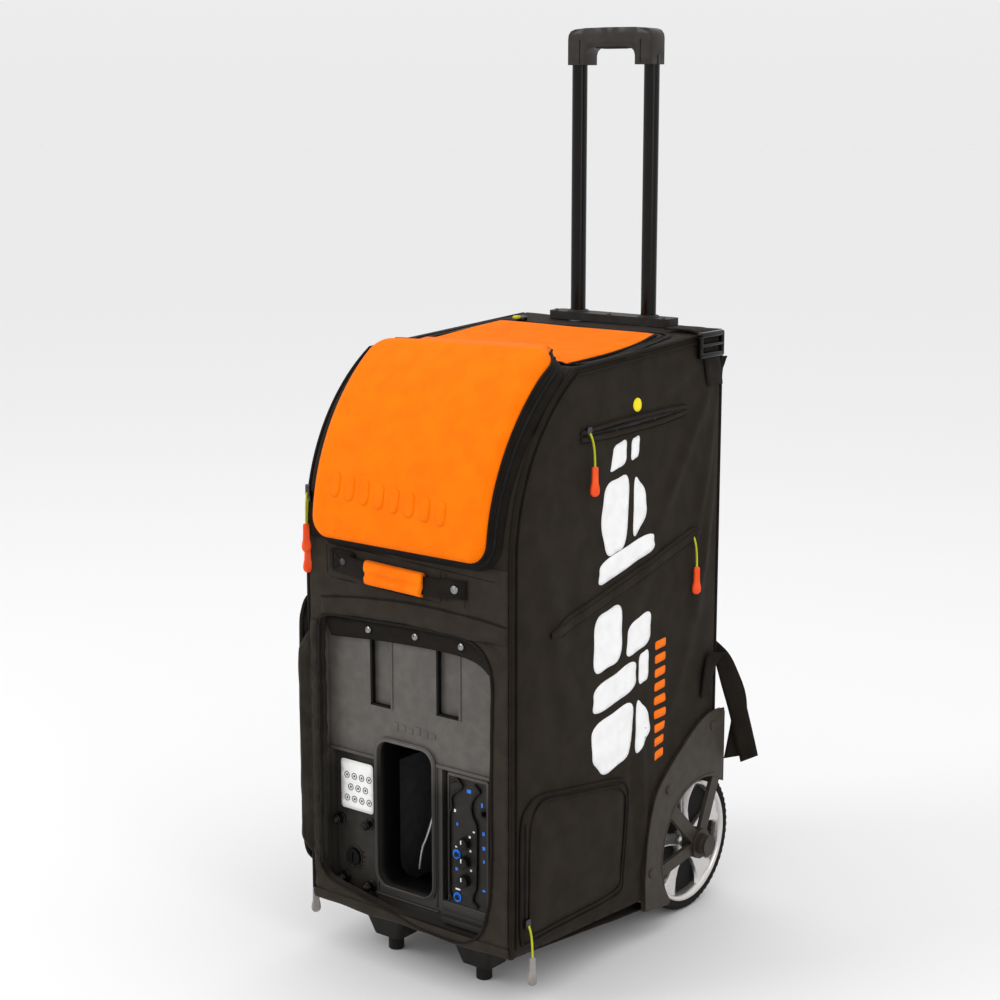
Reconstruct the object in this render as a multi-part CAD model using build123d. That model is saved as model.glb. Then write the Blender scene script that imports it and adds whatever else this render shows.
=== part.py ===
"""Ball launcher in an upright wheeled trolley bag.

All sizes are in millimetres.  +Z is up, the launch opening faces -Y, and the
origin is on the floor at the middle of the bounding box.
"""
import math
import os

from build123d import *

# ---------------------------------------------------------------- bag shell
BAG_W = 350.0            # width over the side panels
FRONT_Y = -258.0         # outer front face
REAR_Y = 222.0           # outer rear face
TOP_REAR_Z = 850.0       # top edge at the back
TOP_SLOPE = 18.0 / 350.0  # the top falls slightly towards the front
CROWN_Z = 600.0          # height where the front starts to curve back
CROWN_R = 272.0          # radius of the curved front shoulder
HOOD_REAR_Y = -128.0     # rear edge of the raised front lid
HOOD_LIFT = 22.0         # how far the front lid stands proud
HOOD_HALF_W = 146.0
DECK_FRONT_Y = -122.0
BASE_FRONT_Z = 74.0      # underside at the front
BASE_REAR_Z = 48.0       # underside at the back
SKIN = 6.0               # padded fabric wall
HALF_W = BAG_W / 2
INNER_X = HALF_W - SKIN

# ---------------------------------------------------------------- wheels
WHEEL_Y = 178.0
WHEEL_R = 104.0
RIM_R = 91.0
WHEEL_IN_X = 141.0
WHEEL_OUT_X = 166.0
AXLE_R = 6.0
RUNNING = 0.05           # radial running clearance
WELL_R = 112.0
GUARD_OUT_X = 184.0
HUB_CAP_X = 200.0

# ---------------------------------------------------------------- handle
TUBE_X = 62.0
TUBE_Y = 203.0
TUBE_R = 11.0
GRIP_Z = 1214.0          # underside of the grip's legs, drawn out
GRIP_TOP_Z = 1264.0
GRIP_HALF_W = 81.0

# ---------------------------------------------------------------- launcher
FASCIA_Y = -240.0
BAY_Y = -226.0           # floor of the two recessed bays
FASCIA_BACK_Y = -222.0
OPEN_X = (-152.0, 140.0)  # front opening of the bag
OPEN_Z = (84.0, 482.0)
MUZZLE_X = -18.0
MUZZLE_Z = 218.0
MUZZLE_W = 98.0
MUZZLE_H = 206.0
LAUNCH_Y = -88.0         # axles of the launch wheels
LAUNCH_R = 42.0
LAUNCH_GAP = 56.0        # pinch between the launch wheels
TILT_Y = -33.0
PLATE_T = 4.0
PLATE_X = 32.0           # centre of each head plate from the ball path
COVER_X = (-153.0, -73.0)
COVER_Z = (88.0, 289.0)
COVER_T = 4.0
PANEL_X = (53.0, 125.0)
PANEL_Z = (106.0, 311.0)
PANEL_T = 12.0
KNOB_X = 84.0
KNOB_Z = (207.0, 181.0, 155.0)
BUTTONS = ((69.0, 188.0), (70.0, 128.0))
SOCKET_AT = (116.0, 254.0)
KEY_AT = (-122.0, 136.0)
THUMB_SCREWS = ((-146.0, 187.0), (-92.0, 190.0), (-138.0, 103.0), (-91.0, 101.0))

# ---------------------------------------------------------------- ball feed
ROTOR_Y = -38.0
ROTOR_R = 118.0
POCKET_R = 36.0
POCKET_AT = 75.0
ROTOR_Z = (440.0, 470.0)
DROP_Y = ROTOR_Y + math.sqrt(POCKET_AT**2 - MUZZLE_X**2)

# ---------------------------------------------------------------- flap
FLAP_AXIS = (-184.0, -273.0)
FLAP_W = 318.0
FLAP_T = 8.0
FLAP_Z = (95.0, 492.0)


def box(x0, x1, y0, y1, z0, z1):
    """Axis-aligned block between two corners."""
    return Pos((x0 + x1) / 2, (y0 + y1) / 2, (z0 + z1) / 2) * Box(x1 - x0, y1 - y0, z1 - z0)


def rod_x(y, z, r, x0, x1):
    return Pos((x0 + x1) / 2, y, z) * Rot(0, 90, 0) * Cylinder(r, x1 - x0)


def rod_y(x, z, r, y0, y1):
    return Pos(x, (y0 + y1) / 2, z) * Rot(90, 0, 0) * Cylinder(r, y1 - y0)


def rod_z(x, y, r, z0, z1):
    return Pos(x, y, (z0 + z1) / 2) * Cylinder(r, z1 - z0)


def slab_x(face, x0, x1):
    """A face drawn in (y, z), made solid from x0 to x1."""
    return Pos(x0, 0, 0) * extrude(Plane.YZ * face, x1 - x0)


def slab_y(face, y0, y1):
    """A face drawn in (x, z), made solid from y0 to y1."""
    return Pos(0, y1, 0) * extrude(Plane.XZ * face, y1 - y0)


def rounded(x, z, w, h, r):
    return Pos(x, z) * RectangleRounded(w, h, r)


def polygon(*pts):
    return make_face(Polyline(*pts, close=True))


def mirror_x(shape):
    return mirror(shape, about=Plane.YZ)


def base_z(y):
    """Height of the sloping underside."""
    return BASE_FRONT_Z + (BASE_REAR_Z - BASE_FRONT_Z) * (y - FRONT_Y) / (REAR_Y - FRONT_Y)


def top_z(y, grow=0.0):
    return TOP_REAR_Z + (y - REAR_Y) * TOP_SLOPE + grow


def side_outline(grow=0.0):
    """The bag's side shape: upright front, curved shoulder, sloping top."""
    r = CROWN_R + grow
    cy = FRONT_Y + CROWN_R
    rise = TOP_REAR_Z - REAR_Y * TOP_SLOPE + grow - CROWN_Z
    a = 1 + TOP_SLOPE**2
    b = -2 * cy + 2 * rise * TOP_SLOPE
    c = cy**2 + rise**2 - r**2
    corner_y = (-b - math.sqrt(b**2 - 4 * a * c)) / (2 * a)
    corner = (corner_y, top_z(corner_y, grow))
    half = (math.pi + math.atan2(corner[1] - CROWN_Z, corner[0] - cy)) / 2
    middle = (cy + r * math.cos(half), CROWN_Z + r * math.sin(half))
    front_low = (FRONT_Y - grow, BASE_FRONT_Z - grow)
    front_high = (FRONT_Y - grow, CROWN_Z)
    rear_high = (REAR_Y + grow, top_z(REAR_Y + grow, grow))
    rear_low = (REAR_Y + grow, BASE_REAR_Z - grow)
    edges = [
        Line(front_low, front_high),
        ThreePointArc(front_high, middle, corner),
        Line(corner, rear_high),
        Line(rear_high, rear_low),
        Line(rear_low, front_low),
    ]
    return make_face(edges)


def well(x0, x1, r=WELL_R + 1.0):
    """Round space round one wheel."""
    return rod_x(WHEEL_Y, WHEEL_R, r, x0, x1)


def both_wells(shape):
    return shape - well(129.0, 190.0) - well(-190.0, -129.0)


# ================================================================ bag shell
def side_panel():
    return slab_x(side_outline(), INNER_X, HALF_W) - well(160.0, 190.0)


def back_board():
    return both_wells(box(-INNER_X, INNER_X, REAR_Y - 4.5, REAR_Y, base_z(REAR_Y) + 8, 844.0))


def base_tray():
    y0, y1 = FRONT_Y + SKIN, REAR_Y - 4.5
    face = polygon(
        (FRONT_Y, base_z(FRONT_Y)), (REAR_Y, base_z(REAR_Y)),
        (REAR_Y, base_z(REAR_Y) + 7), (y1, base_z(y1) + 7),
        (y0, base_z(y0) + 7), (FRONT_Y, base_z(FRONT_Y) + 7),
    )
    tray = both_wells(slab_x(face, -INNER_X, INNER_X))
    for x in (-79.0, 79.0):
        foot_block = loft([
            Pos(x, -194, 24) * RectangleRounded(48, 44, 8),
            Pos(x, -194, 76) * RectangleRounded(86, 66, 8),
        ])
        tray += foot_block & box(x - 60, x + 60, FRONT_Y + 10, -150, 20, 74)
        tray -= rod_z(x, -194, 8, 20, 60)
    return tray


def front_surround():
    """Front face with the large launch opening and the plain band above it."""
    panel = box(-INNER_X, INNER_X, FRONT_Y, FRONT_Y + SKIN, base_z(FRONT_Y) + 7, 592)
    width, height = OPEN_X[1] - OPEN_X[0], OPEN_Z[1] - OPEN_Z[0]
    hole = slab_y(
        rounded(sum(OPEN_X) / 2, sum(OPEN_Z) / 2, width, height, 30), FRONT_Y - 5, FRONT_Y + 20
    )
    return panel - hole


def front_zip_track():
    """Raised frame that carries the zip round the curved front lid."""
    skin = side_outline() - side_outline(-5.0)
    region = Pos(-190, 720) * Rectangle(136, 256)
    curve = slab_x(skin & region, -INNER_X, INNER_X)
    curve -= box(-136, 136, -300, -135, 606, 900)
    lifted = side_outline(HOOD_LIFT - 6.5) - side_outline(-2.0)
    lifted &= Pos(-206, 720) * Rectangle(148, 256)
    for x0, x1 in ((-146, -136), (136, 146)):
        curve += slab_x(lifted, x0, x1)
    return curve


def top_deck():
    """Flat top round the rear lid's opening."""
    y0 = DECK_FRONT_Y
    face = polygon((y0, top_z(y0)), (REAR_Y, top_z(REAR_Y)), (REAR_Y, top_z(REAR_Y) - 5), (y0, top_z(y0) - 5))
    deck = slab_x(face, -INNER_X, INNER_X)
    deck -= box(-136, 136, -100, 114, 780, 900)
    for x in (-TUBE_X, TUBE_X):
        deck -= rod_z(x, TUBE_Y, TUBE_R + 4, 780, 900)
    return deck


def wheel_guard():
    """Wheel arch, outer bracket with arms, and hub cap of the right wheel."""
    outline = polygon(
        (38, 44), (38, 102), (46, 165), (63, 210), (90, 237), (139, 271), (176, 291),
        (202, 297), (234, 295), (237, 290), (237, 184), (224, 184), (178, 104), (96, 36),
    )
    plate = slab_x(outline, 176, GUARD_OUT_X)
    plate -= rod_x(WHEEL_Y, WHEEL_R, 99, 170, 190)
    hub = rod_x(WHEEL_Y, WHEEL_R, 22, 168, 186) + rod_x(WHEEL_Y, WHEEL_R, 15, 186, HUB_CAP_X)
    arms = hub
    for angle, reach, width in ((66, 104, 20), (136, 108, 20), (188, 108, 18)):
        arm = Pos(reach / 2, 0) * Rectangle(reach, width)
        arms += slab_x(Pos(WHEEL_Y, WHEEL_R) * Rot(0, 0, angle) * arm, 177, GUARD_OUT_X - 1)
    plate += arms
    arch = rod_x(WHEEL_Y, WHEEL_R, WELL_R, 131, 176) - rod_x(WHEEL_Y, WHEEL_R, WELL_R - 4, 134, 190)
    arch &= box(120, 190, 38, 236, 46, 260)
    arch -= box(120, 190, REAR_Y, 300, 0, 180)
    guard = plate + arch
    for y, z in ((205, 277), (92, 210), (52, 98)):
        guard += rod_x(y, z, 5, GUARD_OUT_X, GUARD_OUT_X + 2)
    return guard - rod_x(WHEEL_Y, WHEEL_R, AXLE_R, 100, 173)


def axle():
    return rod_x(WHEEL_Y, WHEEL_R, AXLE_R, -173, 173)


def front_feet():
    feet = None
    for x in (-79.0, 79.0):
        foot = fillet(rod_z(x, -194, 11, 0, 24).edges().sort_by(Axis.Z)[:1], 2)
        foot += rod_z(x, -194, 8, 24, 60)
        feet = foot if feet is None else feet + foot
    return feet


# ================================================================ wheels
def rim():
    width = WHEEL_OUT_X - WHEEL_IN_X - 3
    x0 = WHEEL_IN_X + 1.5
    body = rod_x(WHEEL_Y, WHEEL_R, RIM_R, x0, x0 + width) - rod_x(WHEEL_Y, WHEEL_R, RIM_R - 9, 100, 200)
    body += rod_x(WHEEL_Y, WHEEL_R, 24, x0, WHEEL_OUT_X)
    for k in range(5):
        spoke = polygon((18, -13), (86, -21), (86, 21), (18, 13))
        body += slab_x(Pos(WHEEL_Y, WHEEL_R) * Rot(0, 0, 72 * k + 18) * spoke, x0 + 4, x0 + 16)
    ring_inner = rod_x(WHEEL_Y, WHEEL_R, RIM_R + 30, 100, 200) - rod_x(WHEEL_Y, WHEEL_R, RIM_R, 99, 201)
    return body - ring_inner - rod_x(WHEEL_Y, WHEEL_R, AXLE_R + RUNNING, 100, 200)


def tyre():
    ring = rod_x(WHEEL_Y, WHEEL_R, WHEEL_R, WHEEL_IN_X, WHEEL_OUT_X)
    ring = fillet(ring.edges().filter_by(GeomType.CIRCLE), 4)
    return ring - rod_x(WHEEL_Y, WHEEL_R, RIM_R, 100, 200)


# ================================================================ handle
def handle_housing():
    plate = box(-105, 105, 186, REAR_Y - 1, top_z(REAR_Y) + 0.5, 862)
    plate = fillet(plate.edges().filter_by(Axis.Z), 8)
    for x in (-TUBE_X, TUBE_X):
        plate -= rod_z(x, TUBE_Y, TUBE_R + RUNNING, 800, 900)
    return plate


def guide_tubes():
    pair = None
    for x in (-TUBE_X, TUBE_X):
        tube = rod_z(x, TUBE_Y, 14, 66, top_z(REAR_Y)) - rod_z(x, TUBE_Y, 11.6, 70, 900)
        pair = tube if pair is None else pair + tube
    return pair


def handle_tubes():
    pair = None
    for x in (-TUBE_X, TUBE_X):
        tube = rod_z(x, TUBE_Y, TUBE_R, 455, GRIP_Z + 14) - rod_z(x, TUBE_Y, TUBE_R - 1.5, 400, GRIP_Z + 10)
        pair = tube if pair is None else pair + tube
    return pair


def handle_grip():
    height = GRIP_TOP_Z - GRIP_Z
    outer = RectangleRounded(2 * GRIP_HALF_W, height, 14)
    shape = Pos(0, GRIP_Z + height / 2) * outer
    shape -= Pos(0, GRIP_Z + 10) * RectangleRounded(82, 32, 7)
    grip = slab_y(shape, TUBE_Y - 15, TUBE_Y + 15)
    top_edges = grip.edges().filter_by(Axis.X).group_by(Axis.Z)[-1]
    grip = fillet(top_edges, 4)
    for x in (-TUBE_X, TUBE_X):
        grip -= rod_z(x, TUBE_Y, TUBE_R, GRIP_Z - 5, GRIP_Z + 14)
    return grip - box(-17.4, 17.4, TUBE_Y - 6.4, TUBE_Y + 6.4, GRIP_Z, GRIP_Z + 36)


def handle_button():
    return box(-17, 17, TUBE_Y - 6, TUBE_Y + 6, GRIP_Z + 22, GRIP_Z + 31)


# ================================================================ launcher
def launcher_fascia():
    """Moulded face with side walls, two recessed bays and two channels."""
    x0, x1, z0, z1 = -160.0, 148.0, 83.0, 492.0
    mid_x, mid_z = (x0 + x1) / 2, (z0 + z1) / 2
    face = slab_y(rounded(mid_x, mid_z, x1 - x0, z1 - z0, 12), FASCIA_Y, FASCIA_BACK_Y)
    wall = rounded(mid_x, mid_z, x1 - x0, z1 - z0, 12) - rounded(mid_x, mid_z, x1 - x0 - 6, z1 - z0 - 6, 9)
    face += slab_y(wall, FRONT_Y + SKIN + 0.5, FASCIA_Y)
    face -= box(COVER_X[0] - 1, COVER_X[1] + 1, -250, BAY_Y, COVER_Z[0] - 1, COVER_Z[1] + 1)
    face -= box(45, 131, -250, BAY_Y, 104, 314)
    for channel_x0, channel_x1, low in ((-80, -44, 366), (36, 74, 373)):
        face -= box(channel_x0, channel_x1, -250, BAY_Y - 6, low, 480)
    ring = rounded(MUZZLE_X, MUZZLE_Z, MUZZLE_W + 10, MUZZLE_H + 10, 24)
    face += slab_y(ring, FASCIA_Y - 4, FASCIA_Y + 40)
    face -= slab_y(rounded(MUZZLE_X, MUZZLE_Z, MUZZLE_W, MUZZLE_H, 20), FASCIA_Y - 20, FASCIA_Y + 60)
    face += box(48, 128, FASCIA_Y - 6, FASCIA_Y, 90, 98)
    face -= box(-148, -82, BAY_Y - 1, FASCIA_BACK_Y + 5, 112, 276)
    return face - box(60, 118, BAY_Y - 1, FASCIA_BACK_Y + 5, 118, 303)


def battery_cover():
    w, h = COVER_X[1] - COVER_X[0], COVER_Z[1] - COVER_Z[0]
    mid = (sum(COVER_X) / 2, sum(COVER_Z) / 2)
    front = BAY_Y - COVER_T
    cover = slab_y(rounded(*mid, w, h, 6), front, BAY_Y)
    cover += slab_y(rounded(-114, 239, 60, 66, 8), front - 2, front)
    cover -= rod_y(*KEY_AT, 5 + RUNNING, front - 5, BAY_Y + 5)
    for x, z in THUMB_SCREWS:
        cover -= rod_y(x, z, 3, front - 5, BAY_Y)
    return cover


def thumb_screws():
    group = None
    for x, z in THUMB_SCREWS:
        screw = rod_y(x, z, 3, BAY_Y - 14, BAY_Y) + Pos(x, BAY_Y - 15, z) * Sphere(6.0)
        group = screw if group is None else group + screw
    return group


def key_switch():
    front = BAY_Y - COVER_T
    dial = rod_y(*KEY_AT, 12, front - 5, front - 0.4) + rod_y(*KEY_AT, 5, front - 0.5, BAY_Y + 5)
    x, z = KEY_AT
    return dial - box(x - 1.2, x + 1.2, front - 6, front - 2, z - 7, z + 7)


def control_panel():
    w, h = PANEL_X[1] - PANEL_X[0], PANEL_Z[1] - PANEL_Z[0]
    mid = (sum(PANEL_X) / 2, sum(PANEL_Z) / 2)
    front = BAY_Y - PANEL_T
    panel = slab_y(rounded(*mid, w, h, 6), front, BAY_Y)
    for z in KNOB_Z:
        panel -= rod_y(KNOB_X, z, 3 + RUNNING, front - 5, BAY_Y + 5)
    for x, z in BUTTONS:
        panel -= rod_y(x, z, 4 + RUNNING, front - 5, BAY_Y + 5)
    return panel - rod_y(*SOCKET_AT, 4, front - 5, BAY_Y - 5)


def knob(z):
    front = BAY_Y - PANEL_T
    body = rod_y(KNOB_X, z, 8.5, front - 10, front - 0.4) + rod_y(KNOB_X, z, 3, front - 1, BAY_Y + 4)
    return body - box(KNOB_X - 0.8, KNOB_X + 0.8, front - 11, front - 9, z, z + 9)


def push_button(x, z):
    return rod_y(x, z, 4, BAY_Y - PANEL_T - 3, BAY_Y + 2)


def battery_pack():
    pack = box(-146, -84, FASCIA_BACK_Y + 4, FASCIA_BACK_Y + 132, 86, 270)
    pack = fillet(pack.edges().filter_by(Axis.Z), 8)
    return pack + box(-130, -100, BAY_Y, FASCIA_BACK_Y + 4, 236, 262)


def wheel_heights():
    offset = LAUNCH_GAP / 2 + LAUNCH_R
    return MUZZLE_Z - offset, MUZZLE_Z + offset


def launch_head():
    """Tilting frame: two side plates, spacers and the ball guide rod."""
    low, high = wheel_heights()
    outline = polygon(
        (TILT_Y + 13, MUZZLE_Z - 20), (TILT_Y + 13, MUZZLE_Z + 20), (TILT_Y - 15, high + 22),
        (LAUNCH_Y - 22, high + 22), (LAUNCH_Y - 22, low - 22), (TILT_Y - 15, low - 22),
    )
    head = None
    for side in (-1, 1):
        x = MUZZLE_X + side * PLATE_X
        plate = slab_x(outline, x - PLATE_T / 2, x + PLATE_T / 2)
        plate -= rod_x(TILT_Y, MUZZLE_Z, 6 + RUNNING, x - 9, x + 9)
        for z in (low, high):
            plate -= rod_x(LAUNCH_Y, z, 5 + RUNNING, x - 9, x + 9)
        head = plate if head is None else head + plate
    for z in (MUZZLE_Z - 48, MUZZLE_Z + 48):
        head += rod_x(TILT_Y - 8, z, 5, MUZZLE_X - PLATE_X, MUZZLE_X + PLATE_X)
    x = MUZZLE_X + PLATE_X
    head += rod_z(x, -142, 3, 178, 266)
    for z in (190.0, 254.0):
        head += rod_y(x, z, 2, -142, LAUNCH_Y - 18)
    return head


def launch_motors():
    low, high = wheel_heights()
    x = MUZZLE_X + PLATE_X + PLATE_T / 2
    pair = None
    for z in (low, high):
        motor = rod_x(LAUNCH_Y, z, 21, x, x + 52) - rod_x(LAUNCH_Y, z, 5 + RUNNING, x - 1, x + 30)
        pair = motor if pair is None else pair + motor
    return pair


def launch_wheel(z):
    x0, x1 = MUZZLE_X - 20, MUZZLE_X + 20
    wheel = rod_x(LAUNCH_Y, z, LAUNCH_R, x0, x1)
    wheel = fillet(wheel.edges().filter_by(GeomType.CIRCLE), 4)
    for side in ((x0 - 1, x0 + 12), (x1 - 12, x1 + 1)):
        wheel -= rod_x(LAUNCH_Y, z, 30, *side) - rod_x(LAUNCH_Y, z, 12, *side)
    return wheel + rod_x(LAUNCH_Y, z, 5, MUZZLE_X - PLATE_X - 6, MUZZLE_X + PLATE_X + 30)


def launcher_cradle():
    """Fixed fork that carries the tilting head on two stub pins."""
    cradle = None
    for side in (-1, 1):
        inner = MUZZLE_X + side * (PLATE_X + PLATE_T / 2 + 0.5)
        outer = inner + side * 5
        lo, hi = min(inner, outer), max(inner, outer)
        ear = box(lo, hi, TILT_Y - 15, TILT_Y + 15, 78, MUZZLE_Z + 12)
        pin_in = MUZZLE_X + side * (PLATE_X - 5)
        ear += rod_x(TILT_Y, MUZZLE_Z, 6, min(pin_in, outer), max(pin_in, outer))
        cradle = ear if cradle is None else cradle + ear
    return cradle + box(MUZZLE_X - 45, MUZZLE_X + 45, TILT_Y - 15, TILT_Y + 24, 74, 80)


# ================================================================ ball feed
def ball_chute():
    """Square drop shaft that turns each ball towards the launch wheels."""
    x0, x1 = MUZZLE_X - 42, MUZZLE_X + 42
    y0, y1 = DROP_Y - 42, DROP_Y + 42
    shaft = box(x0, x1, y0, y1, 176, 430) - box(x0 + 4, x1 - 4, y0 + 4, y1 - 4, 180, 440)
    return shaft - box(x0 + 4, x1 - 4, y0 - 5, y0 + 10, 180, 264)


def feeder_floor():
    floor = box(-150, 150, -200, 160, 430, 437)
    floor -= rod_z(MUZZLE_X, DROP_Y, POCKET_R, 420, 440)
    return floor - rod_z(0, ROTOR_Y, 5 + RUNNING, 420, 440)


def feeder_rotor():
    rotor = rod_z(0, ROTOR_Y, ROTOR_R, *ROTOR_Z)
    base = math.degrees(math.atan2(DROP_Y - ROTOR_Y, MUZZLE_X))
    for k in range(4):
        a = math.radians(base + 90 * k)
        x, y = POCKET_AT * math.cos(a), ROTOR_Y + POCKET_AT * math.sin(a)
        rotor -= rod_z(x, y, POCKET_R, 400, 500)
    rotor += Pos(0, ROTOR_Y, ROTOR_Z[1] + 12) * Cone(24, 8, 24)
    return rotor + rod_z(0, ROTOR_Y, 5, 395, ROTOR_Z[0])


def feeder_motor():
    return rod_z(0, ROTOR_Y, 22, 362, 430) - rod_z(0, ROTOR_Y, 5 + RUNNING, 390, 440)


def hopper_bin():
    """Open ball bin above the feeder, with a collar round the rotor."""
    outer = box(-156, 156, -205, 168, 437, 742)
    inner = box(-153, 153, -202, 165, 476, 760)
    below = box(-200, 200, -300, 300, 400, 472)
    collar = rod_z(0, ROTOR_Y, ROTOR_R + 8, 437, 474) - rod_z(0, ROTOR_Y, ROTOR_R + 4, 400, 500)
    shell = outer - inner - below
    shell -= rod_z(0, ROTOR_Y, ROTOR_R + 4, 400, 500)
    return shell + collar


# ================================================================ lids, flap
def front_lid():
    """Raised moulded lid over the front shoulder, hinged at its rear edge."""
    shell = side_outline(HOOD_LIFT) - side_outline(HOOD_LIFT - 6.0)
    region = Pos((-282 + HOOD_REAR_Y) / 2, 724) * Rectangle(282 + HOOD_REAR_Y, 264)
    lid = slab_x(shell & region, -HOOD_HALF_W, HOOD_HALF_W)
    z = top_z(HOOD_REAR_Y)
    return lid + box(-133, 133, HOOD_REAR_Y - 3, HOOD_REAR_Y, z + 1, z + HOOD_LIFT - 2)


def top_lid():
    y0, y1 = -112.0, 126.0
    face = polygon(
        (y0, top_z(y0, 0.5)), (y1, top_z(y1, 0.5)), (y1, top_z(y1, 5.5)), (y0, top_z(y0, 5.5))
    )
    lid = slab_x(face, -148, 148)
    skirt = box(-134, 134, -98, 112, 800, 900) - box(-131, 131, -95, 109, 790, 910)
    depth = polygon((-100, top_z(-100, -9)), (116, top_z(116, -9)), (116, top_z(116, 1)), (-100, top_z(-100, 1)))
    return lid + (skirt & slab_x(depth, -140, 140))


def front_flap():
    """Padded door, folded right round against the left side."""
    x1 = FLAP_AXIS[0] - 4
    y0 = FLAP_AXIS[1] + 4
    mid = (y0 + FLAP_W / 2, sum(FLAP_Z) / 2)
    face = Pos(*mid) * RectangleRounded(FLAP_W, FLAP_Z[1] - FLAP_Z[0], 26)
    return slab_x(face, x1 - FLAP_T, x1)


# ================================================================ webbing
def grab_strap():
    path = [(-118, -258), (-84, -268), (42, -268), (88, -258), (88, -260.2), (42, -270.2), (-84, -270.2), (-118, -260.2)]
    strap = Pos(0, 0, 543) * extrude(make_face(Polyline(*path, close=True)), 25)
    for x0, x1 in ((-134, -118), (88, 104)):
        strap += box(x0, x1, -260.2, -258, 543, 568)
    for x in (-126, 96):
        strap += rod_y(x, 555.5, 6, -263, -260.2)
    return strap


def strap_wrap():
    sleeve = box(-78, 34, -282, -264, 538, 573)
    sleeve = fillet(sleeve.edges().filter_by(Axis.X), 7)
    return sleeve - box(-90, 50, -270.2, -268, 543, 568)


def rear_strap():
    """Webbing down the back face, and its loose end outside the corner."""
    outline = [
        (222, 402), (224, 402), (225, 356), (234, 318), (248, 272), (268, 219), (266, 218), (246, 271), (232, 318),
        (223, 354), (222, 384),
    ]
    tail = slab_x(polygon(*outline), 177, 199) + box(142, 199, REAR_Y, REAR_Y + 1.8, 388, 402)
    return tail + box(142, 164, REAR_Y, REAR_Y + 1.8, 400, 836)


def rear_buckle():
    frame = box(HALF_W, HALF_W + 5, 172, 214, 815, 843)
    frame = fillet(frame.edges().filter_by(Axis.X), 4)
    frame -= box(170, 190, 179, 190, 820, 838) + box(170, 190, 195, 206, 820, 838)
    return frame


# ================================================================ pockets
def upper_pocket():
    """Raised zip welt of the upper side pocket."""
    welt = box(HALF_W, HALF_W + 3, -120, 132, 738, 757)
    return welt - box(HALF_W + 1, HALF_W + 9, -112, 124, 745.5, 749.5)


ZIP_START = (-178.0, 497.0)
ZIP_END = (158.0, 571.0)


def diagonal_zip():
    (y0, z0), (y1, z1) = ZIP_START, ZIP_END
    angle = math.degrees(math.atan2(z1 - z0, y1 - y0))
    length = math.hypot(z1 - z0, y1 - y0)
    mid = Pos((y0 + y1) / 2, (z0 + z1) / 2) * Rot(0, 0, angle)
    welt = slab_x(mid * RectangleRounded(length + 16, 20, 6), HALF_W, HALF_W + 3)
    return welt - slab_x(mid * Rectangle(length, 4), HALF_W + 1, HALF_W + 9)


def lower_pocket():
    """Bellows pocket with its zip down the front edge."""
    outline = polygon((-240, 92), (-240, 262), (-214, 282), (-28, 256), (-2, 232), (-12, 162), (-17, 88))
    pocket = slab_x(outline, HALF_W, HALF_W + 5)
    return pocket - box(HALF_W + 2, HALF_W + 9, -235, -231, 100, 256)


SLIDERS = {
    "upper": (-104.0, 747.5, 3.0),
    "diagonal": (146.0, 568.4, 3.0),
    "lower": (-233.0, 118.0, 5.0),
}
CORD_R = 1.5
CORD_DROP = 44.0
TAB_LENGTH = 42.0


def slider(name):
    """Zip slider that rides on the welt of one pocket."""
    y, z, proud = SLIDERS[name]
    x = HALF_W + proud + 0.4
    block = box(x, x + 4, y - 5, y + 5, z - 6.5, z + 6.5)
    return fillet(block.edges().filter_by(Axis.X), 2) - pull_cord(name)


def cord_route(name):
    """Points of one pull cord, from its slider down to its tab."""
    y, z, proud = SLIDERS[name]
    x = HALF_W + proud + 4.4
    return [(x, y, z - 2), (x + 3.5, y, z - 12), (x + 3.5, y, z - CORD_DROP)]


def bend_radius(a, b, c):
    """Radius of a smooth bend that uses most of the shorter run."""
    u, v = Vector(*b) - Vector(*a), Vector(*c) - Vector(*b)
    half_turn = math.radians(u.get_angle(v)) / 2
    return 0.45 * min(u.length, v.length) / math.tan(half_turn)


def pull_cord(name):
    route = cord_route(name)
    path = FilletPolyline(*route, radius=bend_radius(*route))
    return sweep(Plane(origin=path @ 0, z_dir=path % 0) * Circle(CORD_R), path)


def pull_tab(name):
    x, y, z = cord_route(name)[-1]
    tab = box(x - 2.5, x + 2.5, y - 4, y + 4, z - TAB_LENGTH + 9, z)
    tab = fillet(tab.edges(), 2)
    return tab + Pos(x, y, z - TAB_LENGTH + 8) * Sphere(5.0)


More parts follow.
